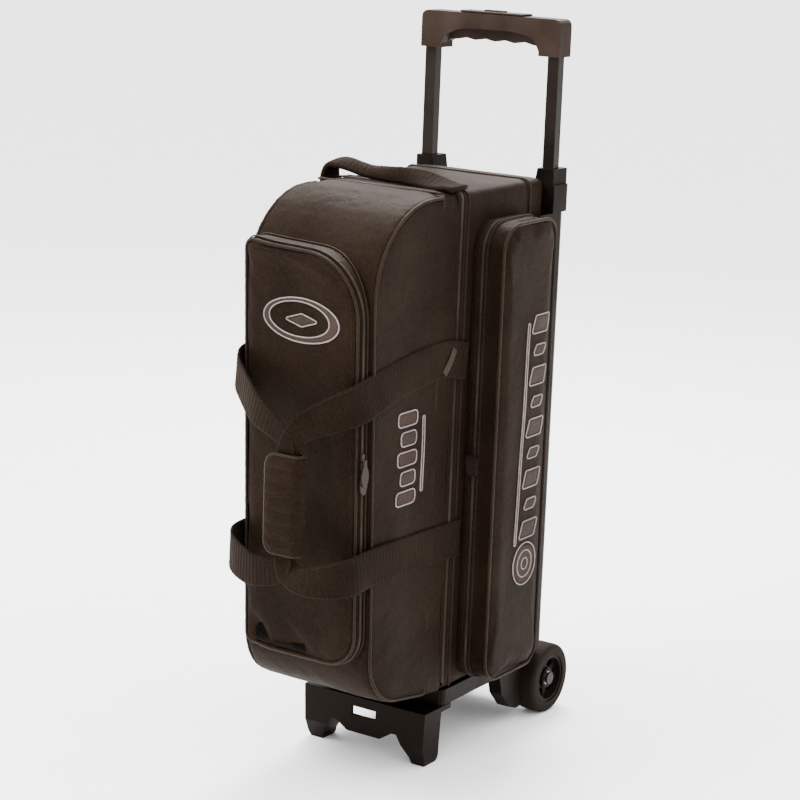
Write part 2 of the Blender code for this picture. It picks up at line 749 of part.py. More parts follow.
def strapStations(side):
    """The webbing's route from its upper sewn end round the front and back to its lower one."""
    reach = halfWidth + strapStandOff
    gripY = -0.2044 if side > 0 else -0.2010
    out = (1, 0, 0)
    slant = (0.8, -0.6, 0)
    ahead = (0, -1, 0)
    if side > 0:
        upper = [((reach, strapTurnY, 0.6200), out), ((reach, 0.0500, 0.6300), out),
                 ((reach, -0.0500, 0.6250), out), ((reach + 0.001, -0.1150, 0.6150), out),
                 ((0.1150, -0.1540, 0.6080), slant), ((0.0950, -0.1880, 0.5950), (0.5, -0.85, 0)),
                 ((0.0620, -0.2060, 0.5740), (0.1, -1, 0)), ((gripX + 0.0060, gripY, 0.5480), ahead)]
        lower = [((gripX + 0.0060, gripY, 0.3600), ahead), ((0.0620, -0.2060, 0.3480), (0.1, -1, 0)),
                 ((0.0980, -0.1900, 0.3510), (0.5, -0.85, 0)), ((0.1170, -0.1590, 0.3550), slant),
                 ((reach + 0.001, -0.1150, 0.3570), out), ((reach, -0.0500, 0.3560), out),
                 ((reach, 0.0500, 0.3530), out), ((reach, strapTurnY, 0.3500), out)]
    else:
        left = (-1, 0, 0)
        upper = [((-reach, strapTurnY, 0.6200), left), ((-reach, 0.0500, 0.6300), left),
                 ((-reach, -0.0500, 0.6280), left), ((-reach, -0.1150, 0.6220), left),
                 ((-0.1080, -0.1560, 0.6150), (-0.8, -0.6, 0)),
                 ((-0.0760, -0.1800, 0.6000), (-0.4, -0.9, 0)),
                 ((-0.0300, -0.1940, 0.5750), (-0.1, -1, 0)), ((gripX - 0.0100, gripY, 0.5480), ahead)]
        lower = [((gripX - 0.0100, gripY, 0.3560), ahead), ((-0.0300, -0.1960, 0.3440), (-0.1, -1, 0)),
                 ((-0.0800, -0.1840, 0.3480), (-0.4, -0.9, 0)),
                 ((-0.1100, -0.1600, 0.3540), (-0.8, -0.6, 0)),
                 ((-reach, -0.1150, 0.3570), left), ((-reach, -0.0500, 0.3560), left),
                 ((-reach, 0.0500, 0.3530), left), ((-reach, strapTurnY, 0.3500), left)]
    grip = [((gripX, gripY, height), ahead) for height in (0.5150, 0.4550, 0.3950)]
    return upper + grip + lower


def addCarryStraps():
    for word, side in sides:
        strap = ribbon("carry_strap_" + word, strapStations(side), webbingWidth, webbingThick,
                       "webbing")
        pivot("strap_swing_" + word, (side * (halfWidth + strapStandOff), strapHingeY, 0.4850))
        carry("strap_swing_" + word, strap)


def addGripWrap():
    """A padded wrap of C section, open on the left, which holds both straps together."""
    low, high = 0.3780, 0.5300
    left, right = -0.0020, 0.0660
    front, back = -0.2160, -0.1880
    outer = rectangle((left, front), (right, back), 0.0120)
    wrap = prism("carry_grip_wrap", rounded(outer, 4), "Z", low, high, "nylon")
    inside = box("wrap_inside", (left - 0.01, front + 0.0075, low - 0.01), (right - 0.0040, back - 0.0075, high + 0.01))
    carry("strap_swing_right", cut(wrap, inside))


def addGrabHandle():
    middle = 0.0880
    up = (0, 0, 1)
    route = [((-0.1165, middle, 0.8400), (-1, 0, 0)), ((-0.1180, middle, 0.8600), (-1, 0, 0)),
             ((-0.1190, middle, 0.8780), (-0.9, 0, 0.3)), ((-0.1120, middle, 0.8930), (-0.6, 0, 0.8)),
             ((-0.0900, middle, 0.8980), up), ((-0.0500, middle, 0.8945), up),
             ((-0.0150, middle, 0.8950), up), ((0.0150, middle, 0.8985), up),
             ((0.0450, middle, 0.8950), up), ((0.0750, middle, 0.8860), up),
             ((0.1000, middle, 0.8800), up), ((0.1150, middle, 0.8730), (0.7, 0, 0.7)),
             ((0.1172, middle, 0.8600), (1, 0, 0)), ((0.1165, middle, 0.8400), (1, 0, 0))]
    ribbon("top_grab_handle", route, 0.0460, 0.0056, "webbing")


def placeOnOrigin():
    """Moves the whole object so that its bounding box stands centred on the origin."""
    bpy.context.view_layer.update()
    graph = bpy.context.evaluated_depsgraph_get()
    low = Vector((1e9, 1e9, 1e9))
    high = -low
    for item in bpy.data.collections[bagCollection].objects:
        if item.type != "MESH":
            continue
        ready = item.evaluated_get(graph)
        for corner in ready.bound_box:
            place = ready.matrix_world @ Vector(corner)
            low = Vector(map(min, low, place))
            high = Vector(map(max, high, place))
    middle = (low + high) / 2
    shift = Vector((round(-middle.x, 4), round(-middle.y, 4), 0.0))
    for item in bpy.data.objects:
        if item.parent is None:
            item.location += shift
    bpy.context.view_layer.update()


clearScene()
makeCollection(bagCollection)
makeCollection(cutterCollection)
addBaseTray()
addFrontStand()
addAxleHousing()
addFenders()
addWheels()
addRearBody()
addLid()
addMainZipper()
addBallTower()
addRearFrame()
addHandle()
addSidePocket()
addFrontPocket()
addSliders()
addCarryStraps()
addGripWrap()
addGrabHandle()
placeOnOrigin()
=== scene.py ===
import math
import random

import bmesh
import bpy
from mathutils import Matrix, Vector, noise
from mathutils.bvhtree import BVHTree


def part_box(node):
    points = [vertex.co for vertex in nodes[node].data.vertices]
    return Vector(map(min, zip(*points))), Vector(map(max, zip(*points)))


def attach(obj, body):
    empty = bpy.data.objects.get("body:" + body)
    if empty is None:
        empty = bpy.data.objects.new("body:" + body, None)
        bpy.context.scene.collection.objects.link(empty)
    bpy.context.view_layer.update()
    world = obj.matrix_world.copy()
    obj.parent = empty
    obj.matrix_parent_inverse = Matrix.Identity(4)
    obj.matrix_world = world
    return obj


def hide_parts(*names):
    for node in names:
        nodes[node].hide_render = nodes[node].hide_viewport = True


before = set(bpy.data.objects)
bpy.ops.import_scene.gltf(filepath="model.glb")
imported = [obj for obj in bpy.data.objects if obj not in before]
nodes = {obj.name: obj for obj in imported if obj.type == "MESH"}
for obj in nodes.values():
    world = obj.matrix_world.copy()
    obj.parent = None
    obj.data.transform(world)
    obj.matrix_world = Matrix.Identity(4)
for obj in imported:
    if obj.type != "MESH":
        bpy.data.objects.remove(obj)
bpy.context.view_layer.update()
random.seed(7)

# Bag coordinates: x from the middle of the body, y from a plane ahead of the main zipper, z from the floor.
lidLow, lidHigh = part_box("lid_shell")
bagMiddle = (lidLow.x + lidHigh.x) / 2
half = (lidHigh.x - lidLow.x) / 2
seamY = 0.0905
shiftY = lidHigh.y - seamY
tilt = math.atan2(0.026, 0.7235)


def at(x, y, z):
    return Vector((bagMiddle + x, shiftY + y, z))


def leaned(x, y, z):
    # Leans back with the front of the lid, and tucks in towards the left where the pocket runs out.
    share = min(1.0, max(0.0, (x + 0.100) / 0.060))
    y, z = y + 0.1285 + 0.0105 * (1.0 - share * share * (3.0 - 2.0 * share)), z - 0.73
    turned = y * math.cos(tilt) - z * math.sin(tilt), y * math.sin(tilt) + z * math.cos(tilt)
    return at(x, turned[0] - 0.1285, turned[1] + 0.73)


# Camera
view = {"place": (1.8599, -2.8515, 1.3333), "right": (0.83054, 0.55575, 0.03670),
    "up": (-0.15529, 0.16778, 0.97352), "back": (0.53488, -0.81424, 0.22565), "lens": 105.4}
eye = bpy.data.cameras.new("camera")
eye.lens = view["lens"]
eye.sensor_width = 36.0
eye.clip_end = 200.0
camera = bpy.data.objects.new("camera", eye)
bpy.context.scene.collection.objects.link(camera)
turn = Matrix((view["right"], view["up"], view["back"])).transposed().to_4x4()
camera.matrix_world = Matrix.Translation(view["place"]) @ turn
bpy.context.scene.camera = camera


# Shader helpers
def node(tree, kind, values=None, **settings):
    made = tree.nodes.new("ShaderNode" + kind)
    for key, value in settings.items():
        setattr(made, key, value)
    for key, value in (values or {}).items():
        if isinstance(value, bpy.types.NodeSocket):
            tree.links.new(value, made.inputs[key])
        else:
            made.inputs[key].default_value = value
    return made


def calc(tree, operation, first, second=0.0):
    return node(tree, "Math", {0: first, 1: second}, operation=operation).outputs[0]


def mixColour(tree, share, first, second):
    made = node(tree, "Mix", {0: share, 6: first, 7: second}, data_type="RGBA")
    return made.outputs[2]


def remap(tree, value, low, high, newLow, newHigh):
    values = {0: value, 1: low, 2: high, 3: newLow, 4: newHigh}
    return node(tree, "MapRange", values).outputs[0]


def newGroup(name, inputs, outputs):
    tree = bpy.data.node_groups.new(name, "ShaderNodeTree")
    for label, value in inputs:
        tree.interface.new_socket(label, in_out="INPUT", socket_type="NodeSocketFloat").default_value = value
    for label, kind in outputs:
        tree.interface.new_socket(label, in_out="OUTPUT", socket_type="NodeSocket" + kind)
    return tree, tree.nodes.new("NodeGroupInput").outputs, tree.nodes.new("NodeGroupOutput").inputs


def weaveGroup():
    tree, given, result = newGroup("weave", [("Pitch", 0.0011), ("Depth", 0.16), ("Folds", 0.6)],
        [("Height", "Float"), ("Mottle", "Float")])
    place = node(tree, "TexCoord").outputs
    drift = node(tree, "TexNoise", {"Vector": place["Object"], "Scale": 35.0, "Detail": 2.0}).outputs["Color"]
    drift = node(tree, "VectorMath", {0: drift, "Scale": 0.006}, operation="SCALE").outputs[0]
    spot = node(tree, "VectorMath", {0: place["Object"], 1: drift}, operation="ADD").outputs[0]
    spot = node(tree, "SeparateXYZ", {0: spot}).outputs
    facing = node(tree, "SeparateXYZ", {0: place["Normal"]}).outputs
    rate = calc(tree, "DIVIDE", math.pi, given["Pitch"])
    waves = [calc(tree, "SINE", calc(tree, "MULTIPLY", spot[axis], rate)) for axis in range(3)]
    total = 0.0
    for axis in range(3):
        crossing = calc(tree, "MULTIPLY", waves[(axis + 1) % 3], waves[(axis + 2) % 3])
        share = calc(tree, "POWER", calc(tree, "ABSOLUTE", facing[axis]), 3.0)
        total = calc(tree, "ADD", calc(tree, "MULTIPLY", crossing, share), total)
    fine = calc(tree, "MULTIPLY", total, given["Depth"])
    broad = node(tree, "TexNoise", {"Vector": place["Object"], "Scale": 16.0, "Detail": 3.0,
        "Distortion": 0.6}).outputs[0]
    small = node(tree, "TexNoise", {"Vector": place["Object"], "Scale": 70.0, "Detail": 2.0}).outputs[0]
    folds = calc(tree, "MULTIPLY", calc(tree, "ADD", calc(tree, "MULTIPLY", broad, 3.4), small),
        given["Folds"])
    tree.links.new(calc(tree, "ADD", fine, folds), result["Height"])
    slub = node(tree, "TexNoise", {"Vector": place["Object"], "Scale": 420.0, "Detail": 2.0}).outputs[0]
    blotch = node(tree, "TexNoise", {"Vector": place["Object"], "Scale": 9.0, "Detail": 4.0}).outputs[0]
    mottle = calc(tree, "ADD", calc(tree, "MULTIPLY", slub, 0.55), calc(tree, "MULTIPLY", blotch, 0.45))
    spread = calc(tree, "ADD", remap(tree, mottle, 0.36, 0.64, 0.0, 1.0), calc(tree, "MULTIPLY", total, 0.10))
    tree.links.new(spread, result["Mottle"])
    return tree


def edgeGroup():
    # Rounded normals and a mask for rubbed edges on moulded and metal pieces.
    tree, given, result = newGroup("edges", [("Radius", 0.0010), ("Grain", 0.04), ("Scale", 1500.0)],
        [("Wear", "Float"), ("Dust", "Float"), ("Height", "Float"), ("Normal", "Vector")])
    place = node(tree, "TexCoord").outputs
    eased = node(tree, "Bevel", {"Radius": given["Radius"]}, samples=4).outputs[0]
    flat = node(tree, "NewGeometry").outputs["Normal"]
    alike = node(tree, "VectorMath", {0: eased, 1: flat}, operation="DOT_PRODUCT").outputs["Value"]
    patch = node(tree, "TexNoise", {"Vector": place["Object"], "Scale": 60.0, "Detail": 4.0}).outputs[0]
    worn = calc(tree, "MULTIPLY", remap(tree, alike, 0.99, 0.86, 0.0, 1.0),
        remap(tree, patch, 0.42, 0.66, 0.0, 1.0))
    grain = node(tree, "TexNoise", {"Vector": place["Object"], "Scale": given["Scale"],
        "Detail": 2.0}).outputs[0]
    cloud = node(tree, "TexNoise", {"Vector": place["Object"], "Scale": 14.0, "Detail": 5.0}).outputs[0]
    tree.links.new(worn, result["Wear"])
    tree.links.new(remap(tree, cloud, 0.40, 0.72, 0.0, 1.0), result["Dust"])
    tree.links.new(calc(tree, "MULTIPLY", grain, given["Grain"]), result["Height"])
    tree.links.new(eased, result["Normal"])
    return tree


weaveTree = weaveGroup()
edgeTree = edgeGroup()
materials = {}


def newMaterial(name, values):
    made = bpy.data.materials.new(name)
    made.use_nodes = True
    tree = made.node_tree
    tree.nodes.clear()
    shader = node(tree, "BsdfPrincipled", values)
    tree.links.new(shader.outputs[0], node(tree, "OutputMaterial").inputs[0])
    materials[name] = made
    return tree, shader.inputs


def bump(tree, shader, height, distance=0.001, normal=None):
    values = {"Height": height, "Distance": distance, "Strength": 1.0}
    if normal is not None:
        values["Normal"] = normal
    tree.links.new(node(tree, "Bump", values).outputs[0], shader["Normal"])


warm = (1.0, 0.66, 0.46, 1.0)


def woven(name, dark, light, pitch, depth, folds, roughness=0.64, sheen=0.015):
    tree, shader = newMaterial(name, {"Sheen Weight": sheen, "Sheen Roughness": 0.45, "Sheen Tint": warm,
        "Specular IOR Level": 0.05, "Specular Tint": warm})
    weave = node(tree, "Group", {"Pitch": pitch, "Depth": depth, "Folds": folds}, node_tree=weaveTree)
    mottle = weave.outputs["Mottle"]
    tree.links.new(mixColour(tree, mottle, dark + (1.0,), light + (1.0,)), shader["Base Color"])
    tree.links.new(remap(tree, mottle, 0.0, 1.0, roughness + 0.06, roughness - 0.06), shader["Roughness"])
    bump(tree, shader, weave.outputs["Height"])


def ribbed(name, dark, light, pitch, roughness=0.80):
    # Flat webbing or tape with its threads laid along and across its own length.
    tree, shader = newMaterial(name, {"Sheen Weight": 0.02, "Sheen Roughness": 0.4, "Sheen Tint": warm,
        "Specular IOR Level": 0.05, "Specular Tint": warm})
    run = node(tree, "SeparateXYZ", {0: node(tree, "UVMap").outputs[0]}).outputs
    rate = math.pi / pitch
    along = calc(tree, "SINE", calc(tree, "MULTIPLY", run[0], rate))
    across = calc(tree, "SINE", calc(tree, "MULTIPLY", run[1], rate * 0.8))
    slant = calc(tree, "SINE", calc(tree, "MULTIPLY",
        calc(tree, "ADD", run[0], calc(tree, "MULTIPLY", across, 0.0004)), rate * 0.5))
    weave = node(tree, "Group", {"Depth": 0.0, "Folds": 0.25}, node_tree=weaveTree)
    threads = calc(tree, "MULTIPLY", calc(tree, "MULTIPLY", along, across), 0.5)
    height = calc(tree, "ADD", calc(tree, "MULTIPLY", calc(tree, "ADD", threads, slant), 0.22),
        weave.outputs["Height"])
    share = calc(tree, "ADD", calc(tree, "MULTIPLY", weave.outputs["Mottle"], 0.6),
        calc(tree, "MULTIPLY", threads, 0.35))
    tree.links.new(mixColour(tree, share, dark + (1.0,), light + (1.0,)), shader["Base Color"])
    tree.links.new(remap(tree, share, 0.0, 1.0, roughness + 0.08, roughness - 0.08), shader["Roughness"])
    bump(tree, shader, height)


def moulded(name, dark, light, worn, roughness, grain, scale, metallic=0.0, coat=0.0, radius=0.0010):
    tree, shader = newMaterial(name, {"Metallic": metallic, "Coat Weight": coat, "Coat Roughness": 0.3,
        "Specular IOR Level": 0.06, "Specular Tint": (1.0, 0.72, 0.56, 1.0)})
    edges = node(tree, "Group", {"Radius": radius, "Grain": grain, "Scale": scale}, node_tree=edgeTree)
    dust = edges.outputs["Dust"]
    base = mixColour(tree, dust, dark + (1.0,), light + (1.0,))
    tree.links.new(mixColour(tree, edges.outputs["Wear"], base, worn + (1.0,)), shader["Base Color"])
    tree.links.new(remap(tree, dust, 0.0, 1.0, roughness - 0.05, roughness + 0.12), shader["Roughness"])
    bump(tree, shader, edges.outputs["Height"], 0.001, edges.outputs["Normal"])


woven("nylonCloth", (0.0034, 0.0019, 0.0011), (0.0105, 0.0064, 0.0040), 0.0013, 0.10, 0.75)
woven("paddedCloth", (0.0034, 0.0019, 0.0011), (0.0105, 0.0064, 0.0040), 0.0013, 0.10, 0.65)
woven("pipingCloth", (0.0090, 0.0060, 0.0043), (0.0200, 0.0138, 0.0105), 0.0008, 0.10, 0.15, 0.45)
woven("mesh", (0.0040, 0.0026, 0.0018), (0.0160, 0.0110, 0.0080), 0.0024, 0.40, 0.2, 0.80)
woven("threadDark", (0.0130, 0.0088, 0.0064), (0.0260, 0.0180, 0.0135), 0.0003, 0.05, 0.1, 0.60)
woven("threadSilver", (0.170, 0.138, 0.132), (0.290, 0.240, 0.232), 0.0005, 0.20, 0.05, 0.50)
woven("threadRose", (0.0220, 0.0150, 0.0125), (0.0440, 0.0310, 0.0265), 0.0005, 0.20, 0.05, 0.55)
woven("foamCup", (0.050, 0.050, 0.050), (0.090, 0.088, 0.086), 0.0030, 0.10, 0.3, 0.90)
woven("fibreBoard", (0.16, 0.120, 0.085), (0.24, 0.190, 0.140), 0.0016, 0.05, 0.2, 0.80, 0.0)
ribbed("webbing", (0.0042, 0.0027, 0.0018), (0.0165, 0.0110, 0.0078), 0.0021)
ribbed("zipTape", (0.0040, 0.0027, 0.0019), (0.0100, 0.0068, 0.0050), 0.0008)
moulded("plastic", (0.0018, 0.0011, 0.0008), (0.0050, 0.0033, 0.0024), (0.026, 0.019, 0.015), 0.50, 0.05,
    900.0)
moulded("plasticTeeth", (0.0200, 0.0145, 0.0115), (0.0400, 0.0300, 0.0245), (0.070, 0.056, 0.048), 0.38,
    0.01, 900.0, radius=0.0003)
moulded("softGrip", (0.0150, 0.0098, 0.0074), (0.0300, 0.0208, 0.0165), (0.055, 0.041, 0.034), 0.58, 0.05,
    1400.0)
moulded("enamel", (0.0045, 0.0029, 0.0021), (0.0100, 0.0068, 0.0052), (0.060, 0.045, 0.037), 0.36, 0.01,
    500.0, 0.0, 0.1, 0.0005)
moulded("pullMetal", (0.0090, 0.0060, 0.0048), (0.0190, 0.0135, 0.0110), (0.060, 0.046, 0.040), 0.42, 0.01,
    600.0, 0.2, 0.1, 0.0004)
moulded("steel", (0.42, 0.42, 0.42), (0.56, 0.56, 0.56), (0.70, 0.70, 0.70), 0.30, 0.02, 800.0, 1.0)
moulded("tube", (0.36, 0.36, 0.37), (0.48, 0.48, 0.49), (0.62, 0.62, 0.62), 0.34, 0.02, 900.0, 1.0)
moulded("tyre", (0.0050, 0.0034, 0.0025), (0.0120, 0.0085, 0.0065), (0.024, 0.018, 0.015), 0.72, 0.08, 700.0)
moulded("floorPaint", (0.90, 0.90, 0.90), (0.92, 0.92, 0.92), (0.92, 0.92, 0.92), 0.80, 0.02, 60.0)


# Mesh helpers
def piece(shape, name, material, body, smooth=True, turnOut=True):
    if turnOut:
        bmesh.ops.recalc_face_normals(shape, faces=shape.faces)
    mesh = bpy.data.meshes.new(name)
    shape.to_mesh(mesh)
    shape.free()
    for face in mesh.polygons:
        face.use_smooth = smooth
    made = bpy.data.objects.new(name, mesh)
    bpy.context.scene.collection.objects.link(made)
    mesh.materials.append(materials[material])
    if body:
        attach(made, body)
    return made


def roundLoop(corners, step=0.006, turns=9):
    # A closed 2-D outline with its corners rounded, from (a, b, radius), evenly spaced.
    points = []
    count = len(corners)
    for index, (a, b, radius) in enumerate(corners):
        here = Vector((a, b))
        before = (Vector(corners[index - 1][:2]) - here).normalized()
        after = (Vector(corners[(index + 1) % count][:2]) - here).normalized()
        if radius < 0.0005:
            points.append(here)
            continue
        spread = before.angle(after) / 2
        middle = here + (before + after).normalized() * radius / math.sin(spread)
        first = here + before * radius / math.tan(spread) - middle
        last = here + after * radius / math.tan(spread) - middle
        swing = first.angle_signed(last)
        for stage in range(turns + 1):
            angle = -swing * stage / turns
            points.append(middle + Matrix.Rotation(angle, 2) @ first)
    return resample([Vector((p.x, p.y, 0.0)) for p in points], step, True)


def resample(points, step, closed=False):
    # Points at an even step along a line of straight runs.
    line = list(points) + ([points[0]] if closed else [])
    lengths = [0.0]
    for first, second in zip(line, line[1:]):
        lengths.append(lengths[-1] + (second - first).length)
    count = max(2, round(lengths[-1] / step))
    made = []
    index = 0
    for stage in range(count + (0 if closed else 1)):
        want = lengths[-1] * stage / count
        while index < len(line) - 2 and lengths[index + 1] < want:
            index += 1
        run = lengths[index + 1] - lengths[index]
        share = (want - lengths[index]) / run if run else 0.0
        made.append(line[index].lerp(line[index + 1], min(1.0, share)))
    return made


def curved(points, step, closed=False):
    # An even smooth line through the points.
    count = len(points)
    dense = []
    for index in range(count if closed else count - 1):
        if closed:
            a, b, c, d = (points[(index + k) % count] for k in (-1, 0, 1, 2))
        else:
            b, c = points[index], points[index + 1]
            a = points[index - 1] if index else b * 2 - c
            d = points[index + 2] if index + 2 < count else c * 2 - b
        for stage in range(12):
            t = stage / 12
            dense.append(0.5 * (2 * b + (c - a) * t + (2 * a - 5 * b + 4 * c - d) * t * t
                + (3 * b - a - 3 * c + d) * t ** 3))
    if not closed:
        dense.append(points[-1].copy())
    return resample(dense, step, closed)


def tangents(path, closed=False):
    count = len(path)
    made = []
    for index in range(count):
        before = path[index - 1] if index or closed else path[0]
        after = path[(index + 1) % count] if index < count - 1 or closed else path[-1]
        made.append((after - before).normalized())
    return made


def addTube(shape, path, radius, closed=False, sides=8):
    # A round cord along a path; its ends are closed.
    ahead = tangents(path, closed)
    side = ahead[0].orthogonal().normalized()
    rings = []
    for index, place in enumerate(path):
        side = (side - ahead[index] * side.dot(ahead[index])).normalized()
        other = ahead[index].cross(side)
        size = radius * (1.0 + 0.05 * math.sin(index * 1.7))
        rings.append([shape.verts.new(place + (side * math.cos(a) + other * math.sin(a)) * size)
            for a in (math.tau * k / sides for k in range(sides))])
    joinRings(shape, rings, closed)
    return rings


def joinRings(shape, rings, closed=False, caps=True):
    count = len(rings[0])
    pairs = list(zip(rings, rings[1:])) + ([(rings[-1], rings[0])] if closed else [])
    if closed:
        lag = min(range(count), key=lambda k: (rings[-1][0].co - rings[0][k].co).length)
        pairs[-1] = (rings[-1], rings[0][lag:] + rings[0][:lag])
    for first, second in pairs:
        for k in range(count):
            shape.faces.new((first[k], first[(k + 1) % count], second[(k + 1) % count], second[k]))
    if caps and not closed:
        shape.faces.new(list(reversed(rings[0])))
        shape.faces.new(rings[-1])


def addStitches(shape, path, out, closed=False, pitch=0.0042, length=0.0030, radius=0.00042):
    # Short rounded thread dashes that lie on a surface. out is its normal, or a function of the place.
    line = resample(path, pitch, closed)
    ahead = tangents(line, closed)
    for place, way in zip(line, ahead):
        normal = out(place, way) if callable(out) else out
        across = way.cross(normal).normalized()
        rings = []
        for share, size, rise in ((-0.5, 0.35, -0.3), (-0.3, 0.9, 0.5), (0.0, 1.0, 0.8), (0.3, 0.9, 0.5),
                (0.5, 0.35, -0.3)):
            middle = place + way * share * length + normal * radius * rise
            rings.append([shape.verts.new(middle + (across * math.cos(a)
                + normal * math.sin(a)) * radius * size) for a in (math.tau * k / 5 for k in range(5))])
        joinRings(shape, rings)


def addTeeth(shape, path, across, out, pitch=0.0021, reach=0.0026, lag=0.0):
    # One side of a zipper's teeth: small blocks with a waist that point across the mouth.
    line = resample(path, pitch)
    ahead = tangents(line)
    for index, (place, way) in enumerate(zip(line, ahead)):
        normal = out(place, way) if callable(out) else out
        side = across(place, way) if callable(across) else across
        base = place + way * lag
        rings = []
        for share, wide, tall in ((-0.25, 0.30, 0.30), (-0.1, 0.36, 0.62), (0.55, 0.30, 0.70),
                (0.85, 0.44, 0.72), (1.0, 0.30, 0.45)):
            middle = base + side * reach * share
            rings.append([shape.verts.new(middle + way * pitch * wide * a + normal * pitch * tall * b)
                for a, b in ((-1, -0.4), (1, -0.4), (1, 0.7), (0.6, 1.0), (-0.6, 1.0), (-1, 0.7))])
        joinRings(shape, rings)


def ribbonPiece(name, stations, width, thick, material, body, step=0.006, ripple=0.0004, seed=0.0,
        columns=10, droop=0.0, waist=0.0, spread=0.15):
    # Flat webbing that follows stations of (place, outward normal), with rounded edges and a fine ripple.
    places = curved([place for place, _ in stations], step)
    normals = curved([normal for _, normal in stations], step)
    normals = [normals[round(k * (len(normals) - 1) / (len(places) - 1))].normalized()
        for k in range(len(places))]
    ahead = tangents(places)
    shape = bmesh.new()
    layer = shape.loops.layers.uv.new("UVMap")
    rings = []
    spots = {}
    run = 0.0
    for index, place in enumerate(places):
        if index:
            run += (place - places[index - 1]).length
        normal = (normals[index] - ahead[index] * normals[index].dot(ahead[index])).normalized()
        across = ahead[index].cross(normal)
        ring = []
        wave = ripple * noise.noise(Vector((run * 22.0, seed, 0.0)))
        for face in (1, -1):
            for k in range(columns + 1):
                share = (k / columns - 0.5) * face
                edge = max(0.0, abs(share) - 0.44) / 0.06
                rise = thick * 0.5 * face * (1.0 - 0.55 * edge * edge)
                cup = ripple * 1.5 * math.sin(run * 60.0 + share * 4.0 + seed) * abs(share)
                bent = droop * math.sin(math.pi * index / (len(places) - 1)) ** 1.5
                drop = bent * (2.0 * abs(share)) ** 2.2
                narrow = 1.0 - 0.45 * min(1.0, drop / 0.02)
                narrow *= 1.0 - waist * math.exp(-((index / (len(places) - 1) - 0.5) / spread) ** 4)
                vert = shape.verts.new(place + across * width * share * narrow
                    + normal * (rise + wave + cup - drop))
                spots[vert] = (run, width * share)
                ring.append(vert)
        rings.append(ring)
    joinRings(shape, rings)
    for face in shape.faces:
        for loop in face.loops:
            loop[layer].uv = spots[loop.vert]
    return piece(shape, name, material, body), places, normals, ahead


def nearestOf(line, normals):
    # Gives the normal that belongs to the nearest point of a line.
    spots = list(zip(line, normals))
    return lambda place, _way: min(spots, key=lambda entry: (place - entry[0]).length_squared)[1]


def slab(outline, build, low, high):
    # A closed block over an outline. build turns (a, b, depth) into a place.
    shape = bmesh.new()
    rings = [[shape.verts.new(build(p.x, p.y, depth)) for p in outline] for depth in (low, high)]
    joinRings(shape, rings)
    bmesh.ops.recalc_face_normals(shape, faces=shape.faces)
    if shape.calc_volume(signed=True) < 0:
        bmesh.ops.reverse_faces(shape, faces=shape.faces)
    mesh = bpy.data.meshes.new("block")
    shape.to_mesh(mesh)
    shape.free()
    made = bpy.data.objects.new("block", mesh)
    bpy.context.scene.collection.objects.link(made)
    return made


def applied(item):
    # The item's mesh with its modifiers built in.
    bpy.context.view_layer.update()
    ready = item.evaluated_get(bpy.context.evaluated_depsgraph_get())
    mesh = bpy.data.meshes.new_from_object(ready)
    item.modifiers.clear()
    item.data = mesh
    return item


def puff(item, voxel, pressure, cap, pinned=None, steps=20):
    # Turns a block into stuffed cloth: an even skin, blown up a little and held where pinned says.
    change = item.modifiers.new("skin", "REMESH")
    change.mode = "VOXEL"
    change.voxel_size = voxel
    applied(item)
    smooth = item.modifiers.new("ease", "SMOOTH")
    smooth.iterations = 3
    applied(item)
    rest = [vert.co.copy() for vert in item.data.vertices]
    if pressure:
        if pinned:
            held = item.vertex_groups.new(name="held")
            held.add([k for k, place in enumerate(rest) if pinned(place)], 1.0, "REPLACE")
        cloth = item.modifiers.new("cloth", "CLOTH")
        cloth.settings.quality = 4
        cloth.settings.use_pressure = True
        cloth.settings.uniform_pressure_force = pressure
        cloth.settings.effector_weights.gravity = 0.0
        cloth.settings.tension_stiffness = 12.0
        cloth.settings.compression_stiffness = 12.0
        cloth.settings.bending_stiffness = 2.0
        cloth.collision_settings.use_collision = False
        if pinned:
            cloth.settings.vertex_group_mass = "held"
        for number in range(1, steps + 1):
            bpy.context.scene.frame_set(number)
        applied(item)
        for vert, start in zip(item.data.vertices, rest):
            move = vert.co - start
            if move.length > cap:
                vert.co = start + move * cap / move.length
        bpy.context.scene.frame_set(1)
    return item


def finishCloth(item, name, material, body, cutAt=None, cutOut=None, wall=0.0, wrinkle=0.0,
        subdivide=0):
    # Cuts the puffed block open, gives it a wall, wrinkles it and makes it a piece.
    shape = bmesh.new()
    shape.from_mesh(item.data)
    bpy.data.objects.remove(item)
    if cutAt is not None:
        bmesh.ops.bisect_plane(shape, geom=shape.verts[:] + shape.edges[:] + shape.faces[:], plane_co=cutAt,
            plane_no=cutOut, clear_outer=True)
    shape.normal_update()
    if wrinkle:
        for vert in shape.verts:
            place = vert.co
            drift = Vector((0, 0, noise.noise(place * 5.0) * 0.05))
            drawn = Vector(((place.x + place.z * 0.25) * 16.0, place.y * 13.0,
                (place.z + place.x * 0.5) * 7.0))
            sway = noise.noise(place * 9.0 + drift) * 0.5 + noise.noise(drawn + drift * 20.0) * 0.5
            vert.co = place + vert.normal * wrinkle * sway
    made = piece(shape, name, material, body, turnOut=False)
    if wall:
        change = made.modifiers.new("wall", "SOLIDIFY")
        change.thickness = wall
        change.offset = -1.0
        change.use_quality_normals = True
        applied(made)
    if subdivide:
        change = made.modifiers.new("fine", "SUBSURF")
        change.levels = subdivide
        change.render_levels = subdivide
        applied(made)
    for face in made.data.polygons:
        face.use_smooth = True
    if not made.data.materials:
        made.data.materials.append(materials[material])
    return made


print("stage: helpers ready")


def inset(loop, distance):
    # A closed even loop moved inwards by a distance, away from its own line.
    area = sum(a.x * b.y - b.x * a.y for a, b in zip(loop, loop[1:] + loop[:1]))
    side = 1.0 if area > 0 else -1.0
    return [p + Vector((-w.y, w.x, 0.0)) * side * distance for p, w in zip(loop, tangents(loop, True))]


